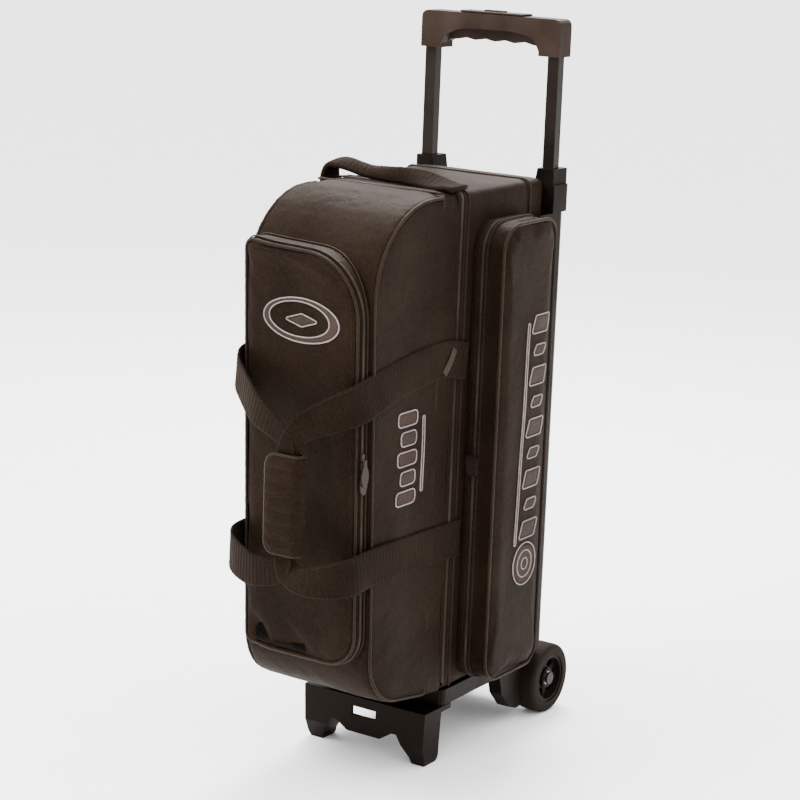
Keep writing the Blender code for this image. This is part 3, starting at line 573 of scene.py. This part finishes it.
def outlineRing(loop, build):
    return [build(p.x, p.y) for p in loop]


def firm(shape, name, material, body):
    return piece(shape, name, material, body)


def clothProbe(item, way):
    # Gives the point where a line along way, from a start outside the piece, meets its surface.
    tree = BVHTree.FromObject(item, bpy.context.evaluated_depsgraph_get())

    def meet(start):
        spot = tree.ray_cast(start - way * 0.05, way, 0.12)[0]
        return spot if spot is not None else start
    return meet


# Lid: the front half of the clamshell
lid = {"voxel": 0.0065, "pressure": 3.0, "cap": 0.0014, "wall": 0.0026, "wrinkle": 0.0026,
    "panelBack": 0.050, "piping": 0.0026}
lidLoop = roundLoop([(0.105, 0.1115, 0), (0.105, 0.8705, 0), (-0.1285, 0.8715, 0.14),
    (-0.1025, 0.1430, 0.085), (0.0450, 0.1160, 0.02)])
block = slab(lidLoop, lambda a, b, depth: at(depth, a, b), -half, half)
puff(block, lid["voxel"], lid["pressure"], lid["cap"], lambda place: place.y > shiftY + 0.085)
lidCloth = finishCloth(block, "lid_cloth", "nylonCloth", "lid", at(0, seamY - 0.0006, 0),
    Vector((0, 1, 0)), lid["wall"], lid["wrinkle"], 1)
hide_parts("lid_shell")
print("stage: lid")

panelLoop = roundLoop([(lid["panelBack"], 0.1175, 0.008), (lid["panelBack"], 0.8700, 0.008),
    (-0.1280, 0.8710, 0.1395), (-0.1020, 0.1425, 0.0860)], 0.005)
shape = bmesh.new()
threads = bmesh.new()
for side in (-1, 1):
    cord = outlineRing(inset(panelLoop, 0.0046), lambda a, b: at(side * (half - 0.0014), a, b))
    addTube(shape, cord, lid["piping"], True)
    row = outlineRing(inset(panelLoop, 0.0100), lambda a, b: at(side * (half + 0.0006), a, b))
    addStitches(threads, row, Vector((side, 0, 0)), True)
topSeam = [at(x, 0.0450, 0.8716) for x in (-half + 0.004, 0.0, half - 0.004)]
addStitches(threads, [p + Vector((0, -0.004, 0)) for p in topSeam], Vector((0, 0, 1)))
addTube(shape, resample(topSeam, 0.006), 0.0019)
firm(shape, "lid_piping", "pipingCloth", "lid")
firm(threads, "lid_stitching", "threadDark", "lid")

# Rear body
rear = {"voxel": 0.0065, "wall": 0.0026, "wrinkle": 0.0010, "seam": 0.2835}
rearLoop = roundLoop([(-half, 0.1130, 0.012), (half, 0.1130, 0.012), (half, 0.8700, 0.012),
    (-half, 0.8700, 0.012)])
block = slab(rearLoop, lambda a, b, depth: at(a, depth, b), 0.080, 0.328)
puff(block, rear["voxel"], 0.0, 0.0)
rearCloth = finishCloth(block, "rear_body_cloth", "nylonCloth", "bag_body", at(0, 0.0958, 0),
    Vector((0, -1, 0)), rear["wall"], rear["wrinkle"], 1)
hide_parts("rear_body_shell")


def mouthPath(reach, top, radius, y, low=0.1300, step=0.004):
    # A path up the left side, over the top and down the right side.
    points = [Vector((-reach, low, 0))]
    for centre, first in ((Vector((radius - reach, top - radius, 0)), 180),
            (Vector((reach - radius, top - radius, 0)), 90)):
        for stage in range(7):
            angle = math.radians(first - 15 * stage)
            points.append(centre + Vector((math.cos(angle), math.sin(angle), 0)) * radius)
    points.append(Vector((reach, low, 0)))
    return [at(p.x, y, p.y) for p in resample(points, step)]


def roundTheBag(place, way):
    return way.cross(Vector((0, 1, 0))).normalized() * -1.0


shape = bmesh.new()
threads = bmesh.new()
addTube(shape, mouthPath(half + 0.0004, 0.8704, 0.013, rear["seam"], 0.1180), 0.0023)
addTube(shape, mouthPath(half + 0.0002, 0.8702, 0.013, 0.1120, 0.1180), 0.0016)
addStitches(threads, mouthPath(half + 0.0006, 0.8706, 0.013, rear["seam"] - 0.0055, 0.1180), roundTheBag)
addStitches(threads, mouthPath(half + 0.0006, 0.8706, 0.013, 0.1160, 0.1180), roundTheBag)
firm(shape, "rear_piping", "pipingCloth", "bag_body")
firm(threads, "rear_stitching", "threadDark", "bag_body")
print("stage: rear body")

# Main zipper: a tape and a row of teeth on each side of the mouth
mouth = {"reach": half + 0.0008, "top": 0.8714, "y": 0.0932, "pitch": 0.0022}
for word, side, body in (("front", -1, "lid"), ("rear", 1, "bag_body")):
    line = mouthPath(mouth["reach"], mouth["top"], 0.013, mouth["y"] + side * 0.0066)
    stations = [(p, roundTheBag(p, w)) for p, w in zip(line, tangents(line))]
    tape = ribbonPiece("main_zip_tape_" + word, stations, 0.0104, 0.0009, "zipTape", body,
        0.005, 0.0001, side, 4)[0]
    shape = bmesh.new()
    row = mouthPath(mouth["reach"] + 0.0004, mouth["top"] + 0.0004, 0.013, mouth["y"] + side * 0.0022)
    lag = mouth["pitch"] / 2 if side > 0 else 0.0
    addTeeth(shape, row, Vector((0, -side, 0)), roundTheBag, mouth["pitch"], 0.0032, lag)
    firm(shape, "main_zip_teeth_" + word, "plasticTeeth", body)
    threads = bmesh.new()
    addStitches(threads, mouthPath(mouth["reach"] + 0.0005, mouth["top"] + 0.0005, 0.013,
        mouth["y"] + side * 0.0098), roundTheBag)
    firm(threads, "main_zip_stitching_" + word, "threadDark", body)
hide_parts("main_zipper")
print("stage: main zipper")

# Side pocket: a gusset under its zipper and a stuffed cover over it
side = {"voxel": 0.0050, "pressure": 4.0, "cap": 0.0035, "wall": 0.0022, "hinge": 0.2700}
sideCorners = [(0.1300, 0.1250, 0.0350), (0.2800, 0.1250, 0.0300), (0.2800, 0.8220, 0.0300),
    (0.1300, 0.8220, 0.0420)]
sideLoop = roundLoop(sideCorners, 0.005)
seat, seam, coverFace = half + 0.0006, 0.1290, 0.1650


def wallPiece(loop, levels, name, material, body, build, wall=0.0020):
    # A band that follows an outline, with rings at levels of (depth, inset).
    shape = bmesh.new()
    rings = [[shape.verts.new(build(p, depth)) for p in inset(loop, shrink)] for depth, shrink in levels]
    rings += [[shape.verts.new(build(p, depth)) for p in inset(loop, shrink + wall)]
        for depth, shrink in reversed(levels)]
    joinRings(shape, rings, True)
    return piece(shape, name, material, body)


base = wallPiece(sideLoop, [(seat, 0.0), (seat + 0.004, -0.0008), (0.1210, -0.0010), (0.1262, -0.0002),
    (seam - 0.0004, 0.0014)], "side_pocket_gusset_cloth", "nylonCloth", "bag_body",
    lambda p, depth: at(depth, p.x, p.y))
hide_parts("side_pocket_base")
block = slab(inset(sideLoop, 0.0010), lambda a, b, depth: at(depth, a, b), 0.1180, coverFace - 0.0005)
puff(block, side["voxel"], side["pressure"], side["cap"], lambda place: place.x < bagMiddle + 0.1330)
cover = finishCloth(block, "side_pocket_cloth", "paddedCloth", "side_pocket_cover",
    at(seam + 0.0006, 0, 0), Vector((-1, 0, 0)), side["wall"], 0.0022, 1)
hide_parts("side_pocket_cover")

shape = bmesh.new()
threads = bmesh.new()
addTube(shape, outlineRing(inset(sideLoop, 0.0016), lambda a, b: at(coverFace - 0.0022, a, b)), 0.0026, True)
onCover = clothProbe(cover, Vector((-1, 0, 0)))
addStitches(threads, [onCover(p) for p in outlineRing(inset(sideLoop, 0.0080),
    lambda a, b: at(coverFace, a, b))], Vector((1, 0, 0)), True)
firm(shape, "side_pocket_piping", "pipingCloth", "side_pocket_cover")
firm(threads, "side_pocket_stitching", "threadDark", "side_pocket_cover")


def zipRound(loop, word, body, build, out, depth, lagged, hinge, reach=0.0026, grow=0.0008):
    # A tape edge and one row of teeth beside the seam. Both stop at the hinge, where the cloth folds.
    shape = bmesh.new()
    direction = 1.0 if lagged else -1.0
    start = next(k for k in range(len(loop)) if loop[k].x <= hinge < loop[k - 1].x)
    order = [k % len(loop) for k in range(start, start + len(loop)) if loop[k % len(loop)].x <= hinge]

    def along(away, shrink):
        ring = inset(loop, shrink)
        return [build(ring[k], depth + direction * away) for k in order]

    inward = (build(Vector((0, 0, 0)), depth) - build(Vector((0, 0, 0)), depth + direction)).normalized()
    addTeeth(shape, along(0.0017, -grow), inward, out, 0.0020, reach, 0.0010 if lagged else 0.0)
    firm(shape, word + "_teeth", "plasticTeeth", body)
    tape = bmesh.new()
    levels = [(0.0014, -grow * 0.4), (0.0050, -grow * 0.9), (0.0085, -grow * 0.2)]
    rings = [[tape.verts.new(p) for p in along(away, shrink)] for away, shrink in levels]
    rings += [[tape.verts.new(p) for p in along(away, shrink + 0.0007)] for away, shrink in reversed(levels)]
    joinRings(tape, list(zip(*rings)))
    firm(tape, word + "_tape", "mesh", body)
    sewn = bmesh.new()
    addStitches(sewn, along(0.0068, -grow * 1.1), out, False, 0.0036, 0.0025)
    firm(sewn, word + "_stitching", "threadDark", body)


def aroundX(place, way):
    return way.cross(Vector((1, 0, 0))).normalized()


def aroundY(place, way):
    return way.cross(Vector((0, -1, 0))).normalized()


def outwardOf(loop, build, probe):
    # Picks the sign that makes a band's normal point away from the middle of its outline.
    first, second = build(loop[0], 0.1), build(loop[1], 0.1)
    middle = sum((build(p, 0.1) for p in loop), Vector()) / len(loop)
    sign = 1.0 if probe(first, second - first).dot(first - middle) > 0 else -1.0
    return lambda place, way: probe(place, way) * sign


sideBuild = lambda p, depth: at(depth, p.x, p.y)
sideOut = outwardOf(sideLoop, sideBuild, aroundX)
zipRound(sideLoop, "side_zip_base", "bag_body", sideBuild, sideOut, seam, False, side["hinge"])
zipRound(sideLoop, "side_zip_cover", "side_pocket_cover", sideBuild, sideOut, seam, True,
    side["hinge"])
print("stage: side pocket")

# Front pocket on the sloping front of the lid
pocket = {"voxel": 0.0045, "pressure": 4.0, "cap": 0.0030, "face": -0.1430, "thick": 0.0060}
frontLoop = roundLoop([(-0.1000, 0.2050, 0.0150), (0.1040, 0.2050, 0.0500), (0.1040, 0.8000, 0.0900),
    (-0.1000, 0.8080, 0.0150)], 0.005)


def lidFrontY(z):
    # Where the lid's front surface is at a height.
    if z > 0.7315:
        rise = min(0.1399, z - 0.7315)
        return -0.1285 + 0.14 - math.sqrt(0.14 ** 2 - rise ** 2) - 0.0003
    return -0.1285 + (0.7315 - z) * math.tan(tilt) - 0.0003


def frontBuild(p, share):
    # share 0 is on the lid and 1 is at the front edge of the gusset.
    edge = leaned(p.x, pocket["face"], p.y)
    start = at(p.x, 0.0, p.y)
    start.z = edge.z
    start.y = shiftY + lidFrontY(edge.z)
    return start.lerp(edge, share)


gusset = wallPiece(frontLoop, [(0.0, 0.0), (0.15, -0.0006), (0.45, -0.0012), (0.8, -0.0006),
    (0.97, 0.0008)], "front_pocket_gusset_cloth", "nylonCloth", "lid", frontBuild)
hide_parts("front_pocket_gusset")
panelEdge = inset(frontLoop, 0.0006)
block = slab(panelEdge, lambda a, b, depth: leaned(a, depth, b), pocket["face"] - pocket["thick"],
    pocket["face"] - 0.0003)
puff(block, pocket["voxel"], pocket["pressure"], pocket["cap"])
frontPanel = finishCloth(block, "front_pocket_cloth", "paddedCloth", "lid", wrinkle=0.0030,
    subdivide=1)
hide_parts("front_pocket_panel")
panelFace = pocket["face"] - pocket["thick"]
shape = bmesh.new()
threads = bmesh.new()
addTube(shape, outlineRing(inset(frontLoop, 0.0022), lambda a, b: leaned(a, panelFace + 0.0026, b)), 0.0024,
    True)
onPanel = clothProbe(frontPanel, Vector((0, 1, 0)))
addStitches(threads, [onPanel(p) for p in outlineRing(inset(frontLoop, 0.0100),
    lambda a, b: leaned(a, panelFace, b))], Vector((0, -1, 0)), True)
foot = [frontBuild(p, 0.03) for p in inset(frontLoop, -0.0020)]
addTube(shape, foot, 0.0014, True)
firm(shape, "front_pocket_piping", "pipingCloth", "lid")
firm(threads, "front_pocket_stitching", "threadDark", "lid")

frontDeep = lambda p, depth: leaned(p.x, depth, p.y)
frontOut = outwardOf(frontLoop, frontDeep, aroundY)
shape = bmesh.new()
for k, direction in enumerate((-1.0, 1.0)):
    row = [frontDeep(p, -0.1385 + direction * 0.0016) for p in inset(frontLoop, -0.0014)]
    row.append(row[0])
    addTeeth(shape, row, Vector((0, -direction, 0)), frontOut, 0.0020, 0.0024, 0.0010 * k)
firm(shape, "front_zip_teeth", "plasticTeeth", "lid")
print("stage: front pocket")

# Straps: two webbing loops, their sewn ends and the padded grip
strap = {"width": 0.0560, "thick": 0.0026, "off": 0.0034, "grip": 0.0300, "gather": 0.46}
reach = half + strap["off"]
ahead, toRight, toLeft = (0, -1, 0), (1, 0, 0), (-1, 0, 0)
grip = strap["grip"]
rightUpper = [((reach, 0.1180, 0.6200), toRight), ((reach, 0.0500, 0.6300), toRight),
    ((reach, -0.0500, 0.6210), toRight), ((reach + 0.001, -0.1150, 0.6090), toRight),
    ((0.1130, -0.1540, 0.5990), (0.8, -0.6, 0)), ((0.0880, -0.1860, 0.5850), (0.5, -0.85, 0)),
    ((0.0560, -0.2030, 0.5660), (0.3, -0.95, 0)), ((grip + 0.006, -0.2044, 0.5400), ahead)]
rightLower = [((grip + 0.006, -0.2044, 0.3600), ahead), ((0.0620, -0.2060, 0.3480), (0.1, -1, 0)),
    ((0.0980, -0.1900, 0.3510), (0.5, -0.85, 0)), ((0.1170, -0.1590, 0.3550), (0.8, -0.6, 0)),
    ((reach + 0.001, -0.1150, 0.3570), toRight), ((reach, -0.0500, 0.3560), toRight),
    ((reach, 0.0500, 0.3530), toRight), ((reach, 0.1180, 0.3500), toRight)]
leftUpper = [((-reach, 0.1180, 0.6200), toLeft), ((-reach, 0.0500, 0.6300), toLeft),
    ((-reach, -0.0500, 0.6280), toLeft), ((-reach, -0.1090, 0.6220), toLeft),
    ((-0.1085, -0.1400, 0.6150), (-0.8, -0.6, 0)), ((-0.0800, -0.1640, 0.6000), (-0.5, -0.85, 0)),
    ((-0.0300, -0.1940, 0.5750), (-0.1, -1, 0)), ((grip - 0.010, -0.2010, 0.5480), ahead)]
leftLower = [((grip - 0.010, -0.2010, 0.3560), ahead), ((-0.0300, -0.1940, 0.3440), (-0.1, -1, 0)),
    ((-0.0820, -0.1700, 0.3480), (-0.5, -0.85, 0)), ((-0.1100, -0.1440, 0.3540), (-0.8, -0.6, 0)),
    ((-reach, -0.1110, 0.3570), toLeft), ((-reach, -0.0500, 0.3560), toLeft),
    ((-reach, 0.0500, 0.3530), toLeft), ((-reach, 0.1180, 0.3500), toLeft)]
middles = {"right": [((grip, -0.2044, z), ahead) for z in (0.5150, 0.4550, 0.3950)],
    "left": [((grip, -0.2010, z), ahead) for z in (0.5150, 0.4550, 0.3950)]}
for word, upper, lower, out in (("right", rightUpper, rightLower, 1), ("left", leftUpper, leftLower, -1)):
    body = "strap_" + word
    route = [(at(*p), Vector(n).normalized()) for p, n in upper + middles[word] + lower]
    web, places, normals, way = ribbonPiece("carry_webbing_" + word, route, strap["width"], strap["thick"],
        "webbing", body, 0.005, 0.0005, out * 3.0, 12, 0.0, strap["gather"])
    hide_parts("carry_strap_" + word)
    threads = bmesh.new()
    for share in (-0.45, 0.45):
        line = []
        for index, (p, n, a) in enumerate(zip(places, normals, way)):
            narrow = 1.0 - strap["gather"] * math.exp(-((index / (len(places) - 1) - 0.5) / 0.15) ** 4)
            line.append(p + a.cross(n).normalized() * strap["width"] * narrow * share
                + n * (strap["thick"] * 0.5 + 0.0001))
        spots = [Vector([round(c, 4) for c in p]) for p in line]
        addStitches(threads, line, nearestOf(spots, normals), False, 0.0046, 0.0030, 0.00035)
    for z, lean in ((0.6265, 0.010 / 0.068), (0.3520, 0.003 / 0.068)):
        face = out * (reach + strap["thick"] * 0.5 + 0.0003)
        corners = [at(face, y, z + (0.075 - y) * lean + dz)
            for y, dz in ((0.108, 0.0225), (0.052, 0.0225), (0.052, -0.0225), (0.108, -0.0225))]
        for a, b in ((0, 1), (1, 2), (2, 3), (3, 0), (0, 2), (1, 3)):
            addStitches(threads, resample([corners[a], corners[b]], 0.0038), Vector((out, 0, 0)), False,
                0.0038, 0.0028, 0.00040)
    firm(threads, "carry_stitching_" + word, "threadDark", body)
print("stage: straps")

# Padded grip: a folded pad, open on the left, quilted along its length
wrap = {"low": 0.3830, "high": 0.5250, "left": 0.0010, "right": 0.0600, "front": -0.2160, "back": -0.1880,
    "pad": 0.0072, "corner": 0.0160}
shape = bmesh.new()
middleY, tall = (wrap["front"] + wrap["back"]) / 2, (wrap["back"] - wrap["front"]) / 2
outerLine = [Vector((wrap["left"], wrap["front"], 0)), Vector((wrap["right"] - tall, wrap["front"], 0))]
for stage in range(1, 10):
    angle = -math.pi / 2 + math.pi * stage / 10
    outerLine.append(Vector((wrap["right"] - tall + math.cos(angle) * tall,
        middleY + math.sin(angle) * tall, 0)))
outerLine += [Vector((wrap["right"] - tall, wrap["back"], 0)), Vector((wrap["left"], wrap["back"], 0))]
outerLine = resample(outerLine, 0.0022)
lineWay = tangents(outerLine)
length = wrap["high"] - wrap["low"]
rows = 44


def padHeight(tip, height):
    # A height on the pad, with the flap's corners rounded off near its free edges.
    cut = wrap["corner"] - math.sqrt(max(0.0, wrap["corner"] ** 2 - max(0.0, wrap["corner"] - tip) ** 2))
    return wrap["low"] + height * length - cut * (height - 0.5) * 2.0


rings = []
for row in range(rows + 1):
    height = row / rows
    end = min(height, 1.0 - height) * length
    fat = 1.0 if end > 0.010 else 0.30 + 0.70 * math.sqrt(end / 0.010)
    ring = []
    for direction in (1, -1):
        order = range(len(outerLine)) if direction > 0 else range(len(outerLine) - 1, -1, -1)
        for k in order:
            along = k / (len(outerLine) - 1)
            tip = min(along, 1.0 - along) * (len(outerLine) - 1) * 0.0022
            slim = 1.0 if tip > 0.008 else 0.35 + 0.65 * math.sqrt(tip / 0.008)
            channel = abs(((height * 7.0) % 1.0) - 0.5) * 2.0
            quilt = 1.0 - 0.48 * channel ** 3
            inner = Vector((-lineWay[k].y, lineWay[k].x, 0))
            thickness = wrap["pad"] * fat * slim * quilt
            centre = outerLine[k] + inner * wrap["pad"] * 0.5
            sway = 0.0004 * noise.noise(Vector((along * 9.0, height * 6.0, 2.0)))
            spot = centre - inner * direction * (thickness * 0.5 + sway)
            ring.append(shape.verts.new(at(spot.x, spot.y, padHeight(tip, height))))
    rings.append(ring)
joinRings(shape, rings)
pad = piece(shape, "carry_grip_pad", "paddedCloth", "strap_right")
change = pad.modifiers.new("fine", "SUBSURF")
change.levels = change.render_levels = 1
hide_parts("carry_grip_wrap")
threads = bmesh.new()
for k in range(1, 7):
    line = []
    for p, w in zip(outerLine[4:-4], lineWay[4:-4]):
        inner = Vector((-w.y, w.x, 0))
        spot = p + inner * wrap["pad"] * 0.24
        line.append(at(spot.x, spot.y, wrap["low"] + length * k / 7.0))
    addStitches(threads, line, lambda place, way: way.cross(Vector((0, 0, 1))).normalized())
firm(threads, "carry_grip_stitching", "threadDark", "strap_right")
border = []
for height in (0.0, 1.0):
    run = []
    for k, (p, w) in enumerate(zip(outerLine, lineWay)):
        tip = min(k, len(outerLine) - 1 - k) * 0.0022
        spot = p + Vector((-w.y, w.x, 0)) * wrap["pad"] * 0.5
        run.append(at(spot.x, spot.y, padHeight(tip, height)))
    border += run if height == 0.0 else run[::-1]
shape = bmesh.new()
addTube(shape, resample(border, 0.0030, True), 0.0024, True)
firm(shape, "carry_grip_binding", "pipingCloth", "strap_right")
print("stage: grip pad")

# Grab handle across the top
handle = {"y": 0.0880, "width": 0.0460, "thick": 0.0066, "fold": 0.42, "droop": 0.0040}
up = (0, 0, 1)
facing = (0, -0.88, 0.46)
crest = [((-0.1165, 0.8400), toLeft), ((-0.1175, 0.8600), toLeft), ((-0.1180, 0.8790), (-0.9, 0, 0.3)),
    ((-0.1110, 0.8920), (-0.6, -0.3, 0.8)), ((-0.0900, 0.8935), (-0.1, -0.8, 0.6)),
    ((-0.0500, 0.8865), facing), ((-0.0150, 0.8850), facing), ((0.0150, 0.8850), facing),
    ((0.0450, 0.8830), (0, -0.75, 0.7)), ((0.0750, 0.8780), (0, -0.3, 0.95)), ((0.0950, 0.8758), up),
    ((0.1090, 0.8748), (0.15, 0, 1))]
route = [(at(x, handle["y"], z), Vector(n).normalized()) for (x, z), n in crest]
grab, places, normals, way = ribbonPiece("top_grab_webbing", route, handle["width"], handle["thick"],
    "webbing", "bag_body", 0.004, 0.0012, 5.0, 14, handle["droop"], handle["fold"], 0.30)
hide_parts("top_grab_handle")
threads = bmesh.new()
for share in (-0.42, 0.42):
    line = []
    for index, (p, n, a) in enumerate(zip(places, normals, way)):
        travel = index / (len(places) - 1)
        drop = handle["droop"] * math.sin(math.pi * travel) ** 1.5 * (2.0 * abs(share)) ** 2.2
        narrow = 1.0 - 0.45 * min(1.0, drop / 0.02)
        narrow *= 1.0 - handle["fold"] * math.exp(-((travel - 0.5) / 0.30) ** 4)
        line.append(p + a.cross(n).normalized() * handle["width"] * share * narrow
            + n * (handle["thick"] * 0.5 - drop))
    addStitches(threads, line, nearestOf(line, normals), False, 0.0046, 0.0030, 0.0004)
firm(threads, "top_grab_stitching", "threadDark", "bag_body")
print("stage: grab handle")

# Embroidered motifs and an oval badge
badge = {"x": 0.007, "z": 0.703, "long": 0.0675, "tall": 0.0315}


def satin(shape, outline, place, out, rise=0.0010, rows=4):
    # Raised embroidery over a closed outline. place turns (a, b) into a point on the cloth.
    middle = sum(outline, Vector((0, 0, 0))) / len(outline)
    rings = []
    for stage in range(rows + 1):
        share = 1.0 - stage / rows * 0.92
        lift = rise * math.sin(min(1.0, stage / rows * 1.6) * math.pi / 2)
        rings.append([shape.verts.new(place(middle.x + (p.x - middle.x) * share,
            middle.y + (p.y - middle.y) * share) + out * lift) for p in outline])
    joinRings(shape, rings, caps=True)


def rim(shape, outline, place, out, radius=0.0011):
    addTube(shape, [place(p.x, p.y) + out * radius * 0.6 for p in outline], radius, True, 6)


def bar(a, b, wide, tall, lean, radius=0.004):
    corners = [(a - wide / 2 - lean, b - tall / 2, radius), (a + wide / 2 - lean, b - tall / 2, radius),
        (a + wide / 2 + lean, b + tall / 2, radius), (a - wide / 2 + lean, b + tall / 2, radius)]
    return roundLoop(corners, 0.003, 5)


def disc(a, b, radius, count=28):
    return [Vector((a + math.cos(math.tau * k / count) * radius,
        b + math.sin(math.tau * k / count) * radius, 0)) for k in range(count)]


def marks(name, outlines, place, out, body, radius=0.0011):
    # Embroidered shapes: a dull fill inside a bright cord outline.
    inside = bmesh.new()
    edge = bmesh.new()
    for outline in outlines:
        satin(inside, inset(outline, 0.0006), place, out)
        rim(edge, outline, place, out, radius)
    firm(inside, name + "_fill", "threadRose", body)
    firm(edge, name + "_edge", "threadSilver", body)


sideSpot = lambda a, b: onCover(at(coverFace, a, b))
outlines = [disc(0.2240, 0.2960, radius, 40) for radius in (0.0330, 0.0210, 0.0090)]
for k in range(9):
    b = 0.3500 + k * 0.0395
    outlines.append(bar(0.2300 + 0.0012 * k, b, 0.044 - 0.014 * (k % 2), 0.0270 - 0.0110 * (k % 2), 0.0050,
        0.004))
outlines.append(bar(0.1990, 0.5000, 0.0050, 0.3400, 0.0060, 0.002))
marks("side_embroidery", outlines, sideSpot, Vector((1, 0, 0)), "side_pocket_cover")
onLid = clothProbe(lidCloth, Vector((-1, 0, 0)))
outlines = [bar(-0.0290 + (k % 2) * 0.003, 0.4420 + k * 0.0290, 0.048 - (k % 2) * 0.010, 0.0205, 0.0,
    0.0065) for k in range(5)]
outlines.append(bar(0.0120, 0.500, 0.0055, 0.1120, 0.0, 0.002))
marks("lid_side_embroidery", outlines, lambda a, b: onLid(at(half, a, b)), Vector((1, 0, 0)), "lid")
badgeSpot = lambda a, b: onPanel(leaned(a, panelFace, b))
ellipse = lambda share: [Vector((badge["x"] + math.cos(math.tau * k / 64) * badge["long"] * share
    - 0.018 * (1.0 - share), badge["z"] + math.sin(math.tau * k / 64) * badge["tall"] * share
    + 0.006 * (1.0 - share), 0)) for k in range(64)]
shape = bmesh.new()
band = bmesh.new()
for share in (1.0, 0.80):
    rim(shape, ellipse(share), badgeSpot, Vector((0, -1, 0)), 0.0011)
rings = [[band.verts.new(badgeSpot(p.x, p.y) + Vector((0, -lift, 0))) for p in ellipse(share)]
    for share, lift in ((0.99, 0.0001), (0.96, 0.0010), (0.90, 0.0012), (0.84, 0.0010), (0.81, 0.0001))]
joinRings(band, rings, caps=False)
lozenge = roundLoop([(badge["x"] - 0.031, badge["z"] - 0.001, 0.0015),
    (badge["x"], badge["z"] - 0.0095, 0.002), (badge["x"] + 0.031, badge["z"] + 0.001, 0.0015),
    (badge["x"], badge["z"] + 0.0095, 0.002)], 0.003, 3)
satin(band, inset(lozenge, 0.0006), badgeSpot, Vector((0, -1, 0)))
rim(shape, lozenge, badgeSpot, Vector((0, -1, 0)), 0.0010)
firm(shape, "badge_edge", "threadSilver", "lid")
firm(band, "badge_fill", "threadRose", "lid")

# Blank folded label under the strap's sewn end
label = {"x": half + 0.0068, "y": 0.0700, "z": 0.6260}
stations = [(at(label["x"] - 0.0012, label["y"] - 0.013, label["z"] - 0.017), Vector((1, 0, 0))),
    (at(label["x"], label["y"], label["z"]), Vector((1, 0, 0))),
    (at(label["x"] - 0.0010, label["y"] + 0.013, label["z"] + 0.017), Vector((1, 0, 0)))]
ribbonPiece("strap_label", stations, 0.0130, 0.0012, "threadRose", "strap_right", 0.004, 0.0002,
    1.0, 4)
print("stage: marks")

# Finishes of the hard CAD pieces
finishes = {"plastic": ["base_tray", "front_stand", "axle_housing", "wheel_fender_left",
    "wheel_fender_right", "tube_foot", "back_cover", "top_bracket", "rod_stop_left", "rod_stop_right",
    "release_yoke", "wheel_rim_left", "wheel_rim_right"],
    "softGrip": ["grip_shell_front", "grip_shell_rear", "grip_top_pad", "release_button"],
    "steel": ["axle", "lock_rod_left", "lock_rod_right", "wheel_bearing_left", "wheel_bearing_right"],
    "tube": ["outer_tube_left", "outer_tube_right"],
    "enamel": ["inner_rod_left", "inner_rod_right", "axle_cap_left", "axle_cap_right"],
    "tyre": ["wheel_tyre_left", "wheel_tyre_right"],
    "foamCup": ["ball_cup_lower", "ball_cup_middle", "ball_cup_upper"],
    "fibreBoard": ["back_board", "ball_shelf_middle", "ball_shelf_upper"],
    "pullMetal": [name for name in nodes if name.startswith("zip_")]}
for finish, names in finishes.items():
    for name in names:
        item = nodes[name]
        item.data.materials.clear()
        item.data.materials.append(materials[finish])
        for polygon in item.data.polygons:
            polygon.material_index = 0

# Floor and lights
shape = bmesh.new()
bmesh.ops.create_grid(shape, x_segments=2, y_segments=2, size=30.0)
floor = piece(shape, "floor", "floorPaint", None, False)
world = bpy.data.worlds.new("studio")
bpy.context.scene.world = world
world.use_nodes = True
sky = world.node_tree
height = node(sky, "SeparateXYZ", {0: node(sky, "TexCoord").outputs["Generated"]}).outputs[2]
sky.nodes["Background"].inputs[0].default_value = (1.0, 1.0, 1.0, 1.0)
# bright overhead, dim at the sides
sky.links.new(remap(sky, height, 0.05, 0.85, 0.50, 4.8), sky.nodes["Background"].inputs[1])


def areaLight(name, place, aim, power, size):
    light = bpy.data.lights.new(name, "AREA")
    light.energy = power
    light.size = size
    made = bpy.data.objects.new(name, light)
    bpy.context.scene.collection.objects.link(made)
    made.location = place
    made.rotation_euler = (Vector(aim) - Vector(place)).to_track_quat("-Z", "Y").to_euler()


areaLight("key", (-1.2, -1.9, 3.3), (0, 0, 0.6), 150.0, 1.2)
areaLight("fill", (3.0, -0.6, 1.8), (0, 0, 0.5), 4.0, 1.6)
areaLight("back", (-0.9, 1.9, 3.0), (0, 0, 0.8), 240.0, 1.4)
